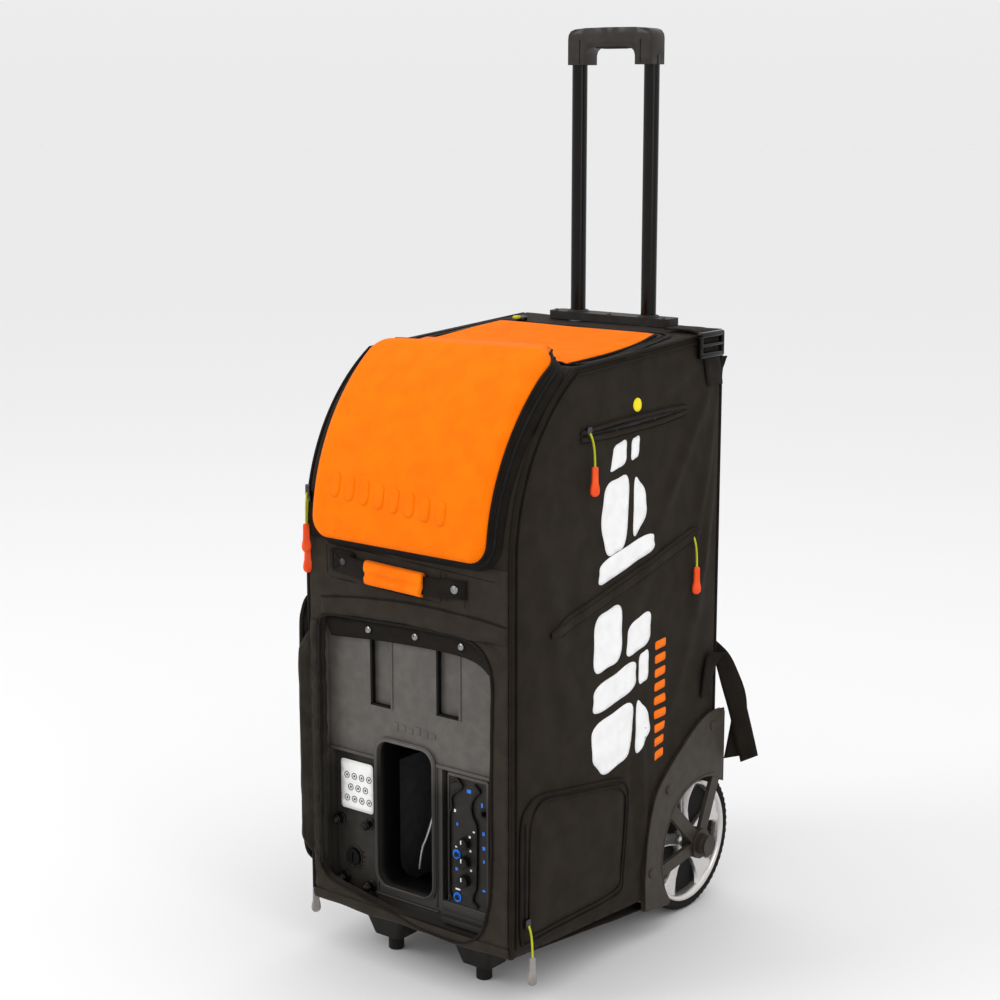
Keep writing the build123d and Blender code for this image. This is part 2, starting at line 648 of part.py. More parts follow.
def build():
    right_guard, right_rim, right_tyre = wheel_guard(), rim(), tyre()
    nodes = {
        "side_panel_right": side_panel(),
        "side_panel_left": mirror_x(side_panel()),
        "back_board": back_board(),
        "base_tray": base_tray(),
        "front_surround": front_surround(),
        "front_zip_track": front_zip_track(),
        "top_deck": top_deck(),
        "wheel_guard_right": right_guard,
        "wheel_guard_left": mirror_x(right_guard),
        "axle": axle(),
        "front_feet": front_feet(),
        "rim_right": right_rim,
        "rim_left": mirror_x(right_rim),
        "tyre_right": right_tyre,
        "tyre_left": mirror_x(right_tyre),
        "handle_housing": handle_housing(),
        "guide_tubes": guide_tubes(),
        "handle_tubes": handle_tubes(),
        "handle_grip": handle_grip(),
        "handle_button": handle_button(),
        "launcher_fascia": launcher_fascia(),
        "battery_cover": battery_cover(),
        "thumb_screws": thumb_screws(),
        "key_switch": key_switch(),
        "control_panel": control_panel(),
        "speed_knob": knob(KNOB_Z[0]),
        "feed_knob": knob(KNOB_Z[1]),
        "angle_knob": knob(KNOB_Z[2]),
        "start_button": push_button(*BUTTONS[0]),
        "power_button": push_button(*BUTTONS[1]),
        "battery_pack": battery_pack(),
        "launch_head": launch_head(),
        "launch_motors": launch_motors(),
        "launch_wheel_low": launch_wheel(wheel_heights()[0]),
        "launch_wheel_high": launch_wheel(wheel_heights()[1]),
        "launcher_cradle": launcher_cradle(),
        "ball_chute": ball_chute(),
        "feeder_floor": feeder_floor(),
        "feeder_rotor": feeder_rotor(),
        "feeder_motor": feeder_motor(),
        "hopper_bin": hopper_bin(),
        "front_lid": front_lid(),
        "top_lid": top_lid(),
        "front_flap": front_flap(),
        "grab_strap": grab_strap(),
        "strap_wrap": strap_wrap(),
        "rear_strap": rear_strap(),
        "rear_buckle": rear_buckle(),
        "upper_pocket": upper_pocket(),
        "diagonal_zip": diagonal_zip(),
        "lower_pocket": lower_pocket(),
    }
    for name in SLIDERS:
        nodes[f"{name}_slider"] = slider(name)
        nodes[f"{name}_pull_cord"] = pull_cord(name)
        nodes[f"{name}_pull_tab"] = pull_tab(name)
    return nodes


if __name__ == "__main__":
    os.makedirs("parts", exist_ok=True)
    for node, shape in build().items():
        export_step(shape, f"parts/{node}.step")
        print(node, len(shape.solids()), [round(v, 1) for v in (*shape.bounding_box().min, *shape.bounding_box().max)])
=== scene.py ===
"""Looks for the ball launcher in a wheeled trolley bag.  Lengths are in metres."""

import math
from contextlib import contextmanager

import bmesh
import bpy
import numpy as np
from mathutils import Matrix, Vector, noise
from mathutils.geometry import delaunay_2d_cdt


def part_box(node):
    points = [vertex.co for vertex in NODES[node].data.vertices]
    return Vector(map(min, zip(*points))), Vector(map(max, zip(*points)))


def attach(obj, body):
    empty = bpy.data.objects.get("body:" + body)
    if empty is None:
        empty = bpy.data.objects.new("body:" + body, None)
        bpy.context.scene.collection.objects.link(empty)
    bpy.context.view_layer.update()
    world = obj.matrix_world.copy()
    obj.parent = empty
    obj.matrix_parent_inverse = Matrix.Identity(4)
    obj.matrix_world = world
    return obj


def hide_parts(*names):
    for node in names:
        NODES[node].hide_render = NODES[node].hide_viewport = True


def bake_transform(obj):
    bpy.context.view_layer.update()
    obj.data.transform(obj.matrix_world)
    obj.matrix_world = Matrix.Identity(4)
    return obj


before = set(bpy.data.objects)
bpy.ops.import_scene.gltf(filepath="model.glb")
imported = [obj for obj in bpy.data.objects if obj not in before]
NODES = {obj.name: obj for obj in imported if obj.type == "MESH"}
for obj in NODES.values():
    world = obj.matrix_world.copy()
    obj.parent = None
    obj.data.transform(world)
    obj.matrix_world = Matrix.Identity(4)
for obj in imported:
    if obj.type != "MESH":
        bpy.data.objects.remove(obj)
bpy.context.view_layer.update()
MM = 0.001


def corner(node, high):
    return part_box(node)[1 if high else 0]


# Driving sizes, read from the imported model.
PANEL_LOW, PANEL_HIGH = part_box("side_panel_right")
HALF_W = PANEL_HIGH.x
FRONT_Y, REAR_Y = PANEL_LOW.y, PANEL_HIGH.y
TOP_REAR_Z = PANEL_HIGH.z
BASE_FRONT_Z = corner("front_surround", False).z - 7 * MM
BASE_REAR_Z = corner("base_tray", False).z
LID_LOW = corner("front_lid", False)
CROWN_Z = 0.600
CROWN_R = 0.272
TOP_SLOPE = 18.0 / 350.0
TYRE_LOW, TYRE_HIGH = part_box("tyre_right")
WHEEL_Y = (TYRE_LOW.y + TYRE_HIGH.y) / 2
WHEEL_R = (TYRE_HIGH.z - TYRE_LOW.z) / 2
FASCIA_Y = -0.240
EDGE_X, DECK_X = 0.170, 0.1705    # half widths of the cloth panels between the side panels
TUBE_X, TUBE_Y = 0.062, 0.203     # guide tubes of the handle
KEY_X, KEY_Z = -0.122, 0.136      # key dial on the battery cover
THUMB_SCREWS = ((-146, 187), (-92, 190), (-138, 103), (-91, 101))


# ---------------------------------------------------------------- materials
def srgb(r, g, b):
    def lin(c):
        return c / 12.92 if c <= 0.04045 else ((c + 0.055) / 1.055) ** 2.4
    return (lin(r), lin(g), lin(b), 1.0)


M = {}


class Look:
    """One procedural material: colour variation, roughness and bump from object-space textures."""

    def __init__(self, name, colour, rough=0.6, metal=0.0, coat=0.0, sheen=0.0, spec=0.5):
        self.mat = M[name] = bpy.data.materials.new(name)
        self.mat.use_nodes = True
        self.nodes, self.links = self.mat.node_tree.nodes, self.mat.node_tree.links
        self.bsdf = self.nodes["Principled BSDF"]
        self.colour = srgb(*colour)
        for socket, value in (("Base Color", self.colour), ("Roughness", rough), ("Metallic", metal),
                              ("Coat Weight", coat), ("Sheen Weight", sheen), ("Sheen Roughness", 0.4),
                              ("Specular IOR Level", spec)):
            self.bsdf.inputs[socket].default_value = value
        self.coords = self.nodes.new("ShaderNodeTexCoord").outputs["Object"]
        self.bump_out = None

    def node(self, kind, inputs, **settings):
        """New node; each input is a value or the output of another node."""
        made = self.nodes.new("ShaderNode" + kind)
        for key, value in settings.items():
            setattr(made, key, value)
        for key, value in inputs.items():
            if isinstance(value, bpy.types.NodeSocket):
                self.links.new(value, made.inputs[key])
            else:
                made.inputs[key].default_value = value
        return made

    def noise(self, scale, detail):
        return self.node("TexNoise", {"Scale": scale, "Detail": detail, "Vector": self.coords}).outputs["Fac"]

    def wave(self, pitch, direction):
        return self.node("TexWave", {"Scale": 2 * math.pi / pitch / 20, "Distortion": 0.4, "Detail": 1.0,
                                     "Detail Scale": 2.0, "Vector": self.coords},
                         bands_direction=direction).outputs["Fac"]

    def vary_colour(self, scale, other, low=0.35, high=0.65):
        ramp = self.node("ValToRGB", {"Fac": self.noise(scale, 4.0)})
        for stop, position, colour in zip(ramp.color_ramp.elements, (low, high), (self.colour, srgb(*other))):
            stop.position, stop.color = position, colour
        self.links.new(ramp.outputs["Color"], self.bsdf.inputs["Base Color"])

    def paint_shade_below(self, low, high, colour):
        """Painted shade: blend to another colour below a height of the object."""
        base = self.bsdf.inputs["Base Color"]
        split = self.node("SeparateXYZ", {0: self.coords})
        level = self.node("MapRange", {"From Min": low, "From Max": high, "Value": split.outputs["Z"]})
        mixed = self.node("Mix", {0: level.outputs["Result"], 6: srgb(*colour), 7: base.links[0].from_socket},
                          data_type="RGBA")
        self.links.new(mixed.outputs[2], base)

    def vary_rough(self, scale, low, high):
        level = self.node("MapRange", {"To Min": low, "To Max": high, "Value": self.noise(scale, 4.0)})
        self.links.new(level.outputs["Result"], self.bsdf.inputs["Roughness"])

    def bump(self, height, strength, distance):
        inputs = {"Strength": strength, "Distance": distance, "Height": height}
        if self.bump_out:
            inputs["Normal"] = self.bump_out
        self.bump_out = self.node("Bump", inputs).outputs["Normal"]
        self.links.new(self.bump_out, self.bsdf.inputs["Normal"])


def fabric(name, colour, worn, axes="YZ", pitch=1.6, rough=0.75, sheen=0.03, strength=0.35):
    """Woven cloth; axes are the two directions of the threads and pitch their distance in millimetres."""
    look = Look(name, colour, rough, sheen=sheen, spec=0.07)
    look.vary_colour(35, worn)
    threads = look.node("Math", {k: look.wave(pitch * MM, axis) for k, axis in enumerate(axes)}, operation="ADD")
    look.bump(threads.outputs[0], strength, 0.4 * MM)
    look.bump(look.noise(900, 2.0), 0.25, 0.3 * MM)
    look.bump(look.noise(16, 3.0), 0.25, 4 * MM)


def plastic(name, colour, other, rough=0.45, grain=1400, strength=0.18, coat=0.0, spec=0.16, lower=None):
    look = Look(name, colour, rough, coat=coat, spec=spec)
    look.vary_colour(60, other, 0.4, 0.7)
    # lower is the colour of painted shade on the lower part of the piece.
    if lower:
        look.paint_shade_below(0.262, 0.318, lower)
    look.vary_rough(25, rough - 0.07, rough + 0.08)
    look.bump(look.noise(grain, 2.0), strength, 0.15 * MM)


def metal(name, colour, rough, scale=400, strength=0.08, metallic=1.0, coat=0.0):
    look = Look(name, colour, rough, metallic, coat=coat)
    look.vary_rough(40, max(rough - 0.05, 0.03), rough + 0.08)
    look.bump(look.noise(scale, 2.0), strength, 0.1 * MM)


BLACK, BLACK_WORN = (0.138, 0.118, 0.095), (0.162, 0.141, 0.116)
WEB, WEB_WORN = (0.105, 0.090, 0.072), (0.135, 0.118, 0.098)
DARK, DARK_WORN = (0.10, 0.10, 0.10), (0.13, 0.13, 0.13)
fabric("nylon_side", BLACK, BLACK_WORN)
fabric("nylon_front", (0.175, 0.155, 0.132), (0.202, 0.181, 0.156), "XZ")
fabric("nylon_top", BLACK, BLACK_WORN, "XY")
fabric("lining", (0.140, 0.125, 0.108), (0.185, 0.168, 0.148), "YZ", 1.1, 0.55, 0.042, 0.2)
fabric("webbing", WEB, WEB_WORN, "XZ", 1.3, 0.7, 0.024, 0.7)
fabric("webbing_side", WEB, WEB_WORN, "YZ", 1.3, 0.7, 0.024, 0.7)
fabric("piping", (0.095, 0.080, 0.062), (0.120, 0.104, 0.084), "YZ", 1.0, 0.6, 0.024, 0.3)
fabric("orange_cloth", (0.97, 0.47, 0.0), (0.96, 0.44, 0.0), "XZ", 1.2, 0.7, 0.012, 0.22)
fabric("orange_cloth_top", (0.98, 0.46, 0.0), (0.97, 0.43, 0.0), "XY", 1.2, 0.8, 0.0, 0.22)
fabric("orange_wrap", (0.98, 0.49, 0.03), (0.96, 0.44, 0.0), "XZ", 1.5, 0.7, 0.042, 0.3)
# The fascia turns darker from 0.318 m down to 0.262 m: painted shade on its lower part.
plastic("fascia", (0.315, 0.300, 0.285), (0.355, 0.340, 0.323), 0.40, 1100, 0.3, spec=0.3,
        lower=(0.165, 0.153, 0.140))
plastic("fascia_dark", (0.14, 0.13, 0.117), (0.17, 0.158, 0.143), 0.45)
# Near-black painted shade for holes, recesses and gaps where shade falls.
plastic("painted_shade_black", (0.025, 0.025, 0.025), (0.035, 0.035, 0.035), 0.6, spec=0.15)
plastic("cover", (0.165, 0.153, 0.140), (0.195, 0.182, 0.168), 0.42, 1100, 0.3)
plastic("guard", (0.185, 0.160, 0.132), (0.220, 0.194, 0.163), 0.46, 900, 0.35, spec=0.24)
plastic("housing", (0.15, 0.142, 0.132), (0.18, 0.171, 0.160), 0.5, 900, 0.3)
plastic("grip", (0.125, 0.108, 0.090), (0.155, 0.137, 0.117), 0.33, 1300, 0.12, spec=0.3)
plastic("gloss", (0.05, 0.042, 0.033), (0.065, 0.056, 0.046), 0.16, 500, 0.02, spec=0.2)
plastic("gloss_plain", DARK, DARK_WORN, 0.35, 800, 0.1)
plastic("knob", (0.06, 0.06, 0.06), (0.085, 0.085, 0.085), 0.3, 900, 0.1)
plastic("rubber", DARK, DARK_WORN, 0.7, 700, 0.35)
plastic("tyre", (0.08, 0.070, 0.060), (0.11, 0.099, 0.087), 0.8, 600, 0.5)
plastic("foot", (0.09, 0.080, 0.070), (0.12, 0.109, 0.097), 0.45, 700, 0.25)
metal("silver", (0.82, 0.81, 0.80), 0.24, 120, 0.004, 0.85, coat=0.1)
metal("steel", (0.66, 0.66, 0.67), 0.35)
metal("zinc", (0.30, 0.29, 0.30), 0.32)
metal("snap", (0.55, 0.55, 0.56), 0.28)
metal("aluminium", (0.72, 0.72, 0.73), 0.4)
plastic("orange_pull", (0.94, 0.30, 0.09), (0.97, 0.35, 0.12), 0.45, 700, 0.12, coat=0.15)
plastic("grey_pull", (0.52, 0.50, 0.49), (0.60, 0.58, 0.56), 0.3, 700, 0.08, coat=0.3)
plastic("label", (0.97, 0.97, 0.96), (0.95, 0.95, 0.94), 0.35, 900, 0.04)
plastic("ink", (0.22, 0.22, 0.23), (0.28, 0.28, 0.29), 0.5, 900, 0.05)
plastic("print_white", (0.95, 0.95, 0.95), (0.92, 0.92, 0.92), 0.55, 1200, 0.25)
plastic("print_orange", (0.98, 0.47, 0.02), (0.95, 0.43, 0.0), 0.55, 1200, 0.25)
plastic("print_yellow", (0.96, 0.88, 0.15), (0.93, 0.85, 0.12), 0.55, 1200, 0.25)
plastic("blue", (0.10, 0.42, 0.85), (0.15, 0.50, 0.90), 0.25, 900, 0.05, coat=0.3)
plastic("battery", (0.30, 0.30, 0.31), (0.34, 0.34, 0.35), 0.5)
fabric("zip_tape", (0.085, 0.073, 0.058), (0.110, 0.096, 0.080), "YZ", 0.9, 0.65, 0.024, 0.5)
plastic("zip_teeth", (0.11, 0.107, 0.105), (0.15, 0.147, 0.144), 0.35, 900, 0.1)
fabric("cord_yellow", (0.80, 0.82, 0.20), (0.70, 0.72, 0.16), "ZX", 1.2, 0.6, 0.036, 0.6)

# ---------------------------------------------------------------- camera
CAMERA_AT = Vector((1.6558, -2.1516, 1.1694))
AZIMUTH, PITCH = math.radians(38.365), math.radians(11.455)
SENSOR = 36                       # millimetres


def add(name, data):
    """New object in the scene."""
    obj = bpy.data.objects.new(name, data)
    bpy.context.scene.collection.objects.link(obj)
    return obj


camera_data = bpy.data.cameras.new("camera")
camera_data.sensor_width = SENSOR
camera_data.lens = 1.9887 * SENSOR
camera_data.clip_end = 50
camera = add("camera", camera_data)
camera.location = CAMERA_AT
camera.rotation_euler = (math.pi / 2 - PITCH, 0, AZIMUTH)
bpy.context.scene.camera = camera
bpy.context.scene.view_settings.view_transform = "Standard"


def finish_piece(obj, look, replaces=(), body="bag", smooth=True):
    """Give a piece its look, the body it rides on and the CAD nodes it replaces."""
    obj.data.materials.clear()
    obj.data.materials.append(M[look])
    if smooth and obj.type == "MESH":
        shade_smooth(obj)
    if body:
        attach(obj, body)
    if replaces:
        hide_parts(*replaces)
    return obj


def shade_smooth(obj):
    obj.data.polygons.foreach_set("use_smooth", [True] * len(obj.data.polygons))


@contextmanager
def editing(obj):
    """The object's mesh opened for editing, and written back at the end."""
    bm = bmesh.new()
    bm.from_mesh(obj.data)
    yield bm
    bm.to_mesh(obj.data)
    bm.free()


def raw_mesh(name, verts, faces):
    mesh = bpy.data.meshes.new(name)
    mesh.from_pydata([tuple(v) for v in verts], [], faces)
    mesh.validate()
    return add(name, mesh)


def quads(rows, count, ring=True, loop=False):
    """Faces between rows of count points; ring closes each row, loop joins the last row to the first."""
    faces = []
    for j in range(rows if loop else rows - 1):
        a, b = j * count, (j + 1) % rows * count
        for i in range(count if ring else count - 1):
            k = (i + 1) % count
            faces.append((a + i, a + k, b + k, b + i))
    return faces


def solidify(obj, thickness, offset=-1.0):
    mod = obj.modifiers.new("thickness", "SOLIDIFY")
    mod.thickness = thickness
    mod.offset = offset
    mod.use_rim = True
    return obj


def grid(name, fn, us, vs):
    """Quads over fn(u, v); the faces look along the cross product of du and dv."""
    return raw_mesh(name, [fn(u, v) for v in vs for u in us], quads(len(vs), len(us), ring=False))


def steps(a, b, count):
    """Even steps from a to b, both included."""
    return [a + (b - a) * i / (count - 1) for i in range(count)]


def circle(count):
    """Cosine and sine of even steps round a circle."""
    return [(math.cos(a), math.sin(a)) for a in steps(0, 2 * math.pi * (count - 1) / count, count)]


def path_length(points):
    return sum(math.dist(p, q) for p, q in zip(points, points[1:]))


def tube_along(name, points, radius):
    """Round cord on a smooth spline through given control points."""
    curve = bpy.data.curves.new(name, "CURVE")
    curve.dimensions = "3D"
    curve.bevel_depth = radius
    curve.bevel_resolution = 3
    curve.resolution_u = 6
    curve.use_fill_caps = True
    spline = curve.splines.new("NURBS")
    spline.points.add(len(points) - 1)
    for p, co in zip(spline.points, points):
        p.co = (*co, 1)
    spline.order_u = 3
    spline.use_endpoint_u = True
    return add(name, curve)


def to_mesh(obj):
    """Replace a curve by its evaluated mesh, so that it can be joined."""
    bpy.context.view_layer.update()
    mesh = bpy.data.meshes.new_from_object(obj.evaluated_get(bpy.context.evaluated_depsgraph_get()))
    name = obj.name
    made = add(name + "_m", mesh)
    bpy.data.objects.remove(obj)
    made.name = name
    return made


def join(name, objs):
    """One mesh object out of several, with their modifiers applied."""
    bpy.context.view_layer.update()
    depsgraph = bpy.context.evaluated_depsgraph_get()
    bm = bmesh.new()
    for o in objs:
        mesh = bpy.data.meshes.new_from_object(o.evaluated_get(depsgraph))
        mesh.transform(o.matrix_world)
        bm.from_mesh(mesh)
        bpy.data.meshes.remove(mesh)
    for o in objs:
        bpy.data.objects.remove(o)
    mesh = bpy.data.meshes.new(name)
    bm.to_mesh(mesh)
    bm.free()
    return add(name, mesh)


def block(name, low, high, bevel=0.0, segments=3):
    """Box between two corners with rounded edges."""
    bm = bmesh.new()
    bmesh.ops.create_cube(bm, size=1)
    low, high = Vector(low), Vector(high)
    size, mid = high - low, (high + low) / 2
    bmesh.ops.transform(bm, matrix=Matrix.Translation(mid) @ Matrix.Diagonal((*size, 1)), verts=bm.verts)
    if bevel:
        bmesh.ops.bevel(bm, geom=bm.edges[:], offset=bevel, segments=segments, profile=0.5, affect="EDGES")
    mesh = bpy.data.meshes.new(name)
    bm.to_mesh(mesh)
    bm.free()
    return add(name, mesh)


AXIS_TURN = {
    "X": Matrix.Rotation(math.pi / 2, 4, "Y"),
    "Y": Matrix.Rotation(-math.pi / 2, 4, "X"),
    "Z": Matrix.Identity(4),
}


def lathe(name, profile, centre, axis, segments=64):
    """Turned solid: profile is a list of (radius, distance along axis) in millimetres."""
    verts = []
    for r, h in profile:
        for i in range(segments):
            a = 2 * math.pi * i / segments
            verts.append(Vector((r * MM * math.cos(a), r * MM * math.sin(a), h * MM)))
    faces = quads(len(profile), segments)
    for j in (0, len(profile) - 1):
        if profile[j][0] > 0:
            ring = [j * segments + i for i in range(segments)]
            faces.append(ring if j else ring[::-1])
    obj = raw_mesh(name, verts, faces)
    obj.data.transform(Matrix.Translation(Vector(centre)) @ AXIS_TURN[axis])
    return clean(obj)


def clean(obj):
    with editing(obj) as bm:
        bmesh.ops.remove_doubles(bm, verts=bm.verts, dist=1e-6)
        bmesh.ops.recalc_face_normals(bm, faces=bm.faces)
    return obj


def mirror(obj):
    """Mirror a piece across x = 0, with its faces turned the right way."""
    obj.data.transform(Matrix.Diagonal((-1, 1, 1, 1)))
    obj.data.flip_normals()


def smooth_by_angle(obj, degrees=35):
    shade_smooth(obj)
    with editing(obj) as bm:
        for e in bm.edges:
            e.smooth = len(e.link_faces) != 2 or e.calc_face_angle(0) < math.radians(degrees)
    return obj


# ---------------------------------------------------------------- pull cords
SLIDERS = {
    "upper": (-0.104, 0.7475, 0.003),
    "diagonal": (0.146, 0.5684, 0.003),
    "lower": (-0.233, 0.118, 0.005),
}
CORD_DROP = 0.044
PULL_BODY = {"upper": "upper_zip", "diagonal": "diagonal_zip_pull", "lower": "lower_zip"}


def pull_tab(name, x, y, z):
    """Moulded pull: a flat neck that widens into a round end with a shallow dish."""
    outline = [(2.2, 0), (3.8, -0.8), (4.3, -3), (4.4, -14), (4.8, -22), (6.0, -27), (6.6, -32), (5.8, -36.2),
               (3.2, -38.8), (0, -39.4)]
    outline += [(-a, h) for a, h in outline[-2::-1]]
    verts, faces, n = [], [], len(outline)
    across, out = Vector((0.52, 0.854, 0)), Vector((0.854, -0.52, 0))
    for scale, depth in ((0.62, 2.7), (0.86, 2.5), (1.0, 1.2), (1.0, -1.2), (0.86, -2.5), (0.62, -2.7)):
        for a, h in outline:
            verts.append(Vector((x, y, z)) + (across * a * scale + out * depth) * MM
                         + Vector((0, 0, (h * scale - 19.5 * (1 - scale)) * MM)))
    for j in range(5):
        faces += [(j * n + i, (j + 1) * n + i, (j + 1) * n + (i + 1) % n, j * n + (i + 1) % n) for i in range(n)]
    for depth, ring in ((2.7, 0), (-2.7, 5)):
        verts.append(Vector((x, y, z - 19.5 * MM)) + out * depth * MM)
        faces += [(len(verts) - 1, ring * n + i, ring * n + (i + 1) % n) for i in range(n)]
    return clean(raw_mesh(name, verts, faces))


def pull_cord(cord_name, tab_name, route, radius, look, replaces=((), ()), body="bag"):
    """Cord that hangs from a slider, with the moulded pull at its end."""
    cord = tube_along(cord_name, route, radius)
    tab = pull_tab(tab_name, *route[-1])
    finish_piece(tab, look, replaces[0], body)
    finish_piece(cord, "cord_yellow", replaces[1], body)
    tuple(route[0])
    round(path_length(route), 4)


for name, (y, z, proud) in SLIDERS.items():
    x = HALF_W + proud + 4.4 * MM
    away = (8.4 if name == "upper" else 6.3) * MM
    pull_cord(f"{name}_cord", f"{name}_tab",
              [(x, y, z - 2 * MM), (x + away, y, z - 12 * MM), (x + away, y, z - CORD_DROP)], 1.5 * MM,
              "grey_pull" if name == "lower" else "orange_pull", ([f"{name}_pull_tab"], [f"{name}_pull_cord"]),
              PULL_BODY[name])


# ---------------------------------------------------------------- cloth tools
def ease(x):
    """Smooth step from 0 to 1."""
    x = min(max(x, 0.0), 1.0)
    return x * x * (3 - 2 * x)


def soft(a, b, size, seed=0.0):
    """Smooth random value between -1 and 1, with waves about as long as size."""
    return noise.noise(Vector((a / size, b / size, seed)))


def folds(a, b, lines):
    """Height of creases in a panel; each line is (a0, b0, a1, b1, width, height) in millimetres."""
    total = 0.0
    for a0, b0, a1, b1, width, height in lines:
        da, db = a1 - a0, b1 - b0
        pa, pb = a / MM - a0, b / MM - b0
        t = (pa * da + pb * db) / (da * da + db * db)
        if 0 < t < 1:
            away = (pa * db - pb * da) / math.hypot(da, db)
            total += height * math.exp(-(away / width) ** 2) * math.sin(math.pi * t) ** 0.6
    return total * MM


def inside(points, loop):
    """Even-odd test of many points against one closed loop."""
    x, y = points[:, 0], points[:, 1]
    result = np.zeros(len(points), bool)
    for (x0, y0), (x1, y1) in zip(loop, loop[1:] + loop[:1]):
        if y0 != y1:
            result ^= ((y0 > y) != (y1 > y)) & (x < (x1 - x0) * (y - y0) / (y1 - y0) + x0)
    return result


def divide(loop, spacing):
    """The closed loop with points about every spacing."""
    made = []
    for (x0, y0), (x1, y1) in zip(loop, loop[1:] + loop[:1]):
        count = max(1, round(math.hypot(x1 - x0, y1 - y0) / spacing))
        made += [(x0 + (x1 - x0) * k / count, y0 + (y1 - y0) * k / count) for k in range(count)]
    return made


def round_loop(a0, a1, b0, b1, r, corner_steps=7, side_steps=1):
    """Closed rounded rectangle, always with the same number of points."""
    made = []
    corners = [(a1 - r, b0 + r, -90), (a1 - r, b1 - r, 0), (a0 + r, b1 - r, 90), (a0 + r, b0 + r, 180)]
    for ca, cb, start in corners:
        for k in range(corner_steps + 1):
            angle = math.radians(start + 90 * k / corner_steps)
            made.append((ca + r * math.cos(angle), cb + r * math.sin(angle)))
    if side_steps > 1:
        full = []
        for k, (p, q) in enumerate(zip(made, made[1:] + made[:1])):
            count = side_steps if k % (corner_steps + 1) == corner_steps else 1
            full += [(p[0] + (q[0] - p[0]) * i / count, p[1] + (q[1] - p[1]) * i / count) for i in range(count)]
        made = full
    return made


def spline_weights(per_span):
    """Catmull-Rom weights of four neighbouring points, at even steps between the middle two."""
    return [((-t + 2 * t**2 - t**3) / 2, (2 - 5 * t**2 + 3 * t**3) / 2, (t + 4 * t**2 - 3 * t**3) / 2,
             (t**3 - t**2) / 2) for t in (i / per_span for i in range(per_span))]


def smooth_loop(points, per_span=6, closed=True):
    """Catmull-Rom curve through flat control points given in millimetres."""
    n = len(points)
    made = []
    for k in range(n if closed else n - 1):
        quad = [points[(k + j) % n] if closed else points[min(max(k + j, 0), n - 1)] for j in (-1, 0, 1, 2)]
        for w in spline_weights(per_span):
            made.append(tuple(sum(c * p[axis] for c, p in zip(w, quad)) * MM for axis in (0, 1)))
    if not closed:
        made.append((points[-1][0] * MM, points[-1][1] * MM))
    return made


def cloth(name, outline, place, facing, spacing=8 * MM, holes=(), thick=2.5 * MM, extra=()):
    """Panel of cloth: an even net of points inside a flat outline, each put where place(a, b) says."""
    outline = divide(outline, spacing)
    holes = [divide(hole, spacing) for hole in holes]
    rim = np.array([p for loop in [outline, *holes] for p in loop])
    low, high = rim.min(0), rim.max(0)
    net = [(low[0] + spacing * (i + 0.5 * (j % 2)), low[1] + spacing * 0.866 * j)
           for j in range(int((high[1] - low[1]) / spacing / 0.866) + 2)
           for i in range(int((high[0] - low[0]) / spacing) + 2)]
    fixed = np.array(list(map(tuple, rim)) + list(extra))
    net = np.array(net)
    net = net[inside(net, outline)]
    for hole in holes:
        net = net[~inside(net, hole)]
    if len(net):
        gap = np.sqrt(((net[:, None, :] - fixed[None, :, :]) ** 2).sum(2)).min(1)
        net = net[gap > 0.55 * spacing]
    points = [Vector(p) for p in fixed] + [Vector(p) for p in net]
    edges, start = [], 0
    for loop in [outline, *holes]:
        edges += [(start + k, start + (k + 1) % len(loop)) for k in range(len(loop))]
        start += len(loop)
    flat, _, faces, *_ = delaunay_2d_cdt(points, edges, [], 0, 1e-7)
    middles = np.array([[sum(flat[i][axis] for i in f) / len(f) for axis in (0, 1)] for f in faces])
    keep = inside(middles, outline)
    for hole in holes:
        keep &= ~inside(middles, hole)
    obj = raw_mesh(name, [place(*p) for p in flat], [f for f, k in zip(faces, keep) if k])
    facing = Vector(facing)
    if sum(p.normal.dot(facing) * p.area for p in obj.data.polygons) < 0:
        obj.data.flip_normals()
    with editing(obj) as bm:
        bmesh.ops.delete(bm, geom=[v for v in bm.verts if not v.link_faces], context="VERTS")
    if thick:
        solidify(obj, thick)
    return obj


def rope(name, points, radius, closed=False, sides=10):
    """Piping: a round mesh tube through close points."""
    pts = [Vector(p) for p in points]
    n = len(pts)
    verts = []
    normal = None
    for k, p in enumerate(pts):
        before = pts[k - 1] if closed or k else p
        after = pts[(k + 1) % n] if closed or k < n - 1 else p
        tangent = (after - before).normalized()
        if normal is None:
            normal = tangent.orthogonal().normalized()
        normal = (normal - tangent * normal.dot(tangent)).normalized()
        side = tangent.cross(normal)
        for i in range(sides):
            angle = 2 * math.pi * i / sides
            verts.append(p + (normal * math.cos(angle) + side * math.sin(angle)) * radius)
    faces = quads(n, sides, loop=closed)
    if not closed:
        faces += [tuple(range(sides))[::-1], tuple(range((n - 1) * sides, n * sides))]
    return clean(raw_mesh(name, verts, faces))


def teeth(name, points, normals, pitch=2.8 * MM, across=5.0 * MM, high=1.3 * MM, closed=False):
    """Zip coil: two rows of small staggered teeth along a path."""
    pts = [Vector(p) for p in points] + ([Vector(points[0])] if closed else [])
    ups = [Vector(v) for v in normals] + ([Vector(normals[0])] if closed else [])
    verts, faces, carry, row = [], [], 0.0, 0
    for p, q, up in zip(pts, pts[1:], ups):
        run = (q - p).length
        if run < 1e-9:
            continue
        along = (q - p) / run
        side = up.cross(along).normalized()
        while carry < run:
            shift = side * (across * (0.16 if row % 2 else -0.16))
            middle = p + along * carry + shift
            base = len(verts)
            for h, scale in ((-0.4, 1.0), (1.0, 0.6)):
                for da, ds in ((-1, -1), (1, -1), (1, 1), (-1, 1)):
                    verts.append(middle + along * (da * pitch * 0.3 * scale) + side * (ds * across * 0.33 * scale)
                                 + up * (h * high))
            tooth = [(4, 5, 6, 7), (0, 1, 5, 4), (1, 2, 6, 5), (2, 3, 7, 6), (3, 0, 4, 7), (3, 2, 1, 0)]
            faces += [tuple(base + i for i in face) for face in tooth]
            carry += pitch / 2
            row += 1
        carry -= run
    return raw_mesh(name, verts, faces)


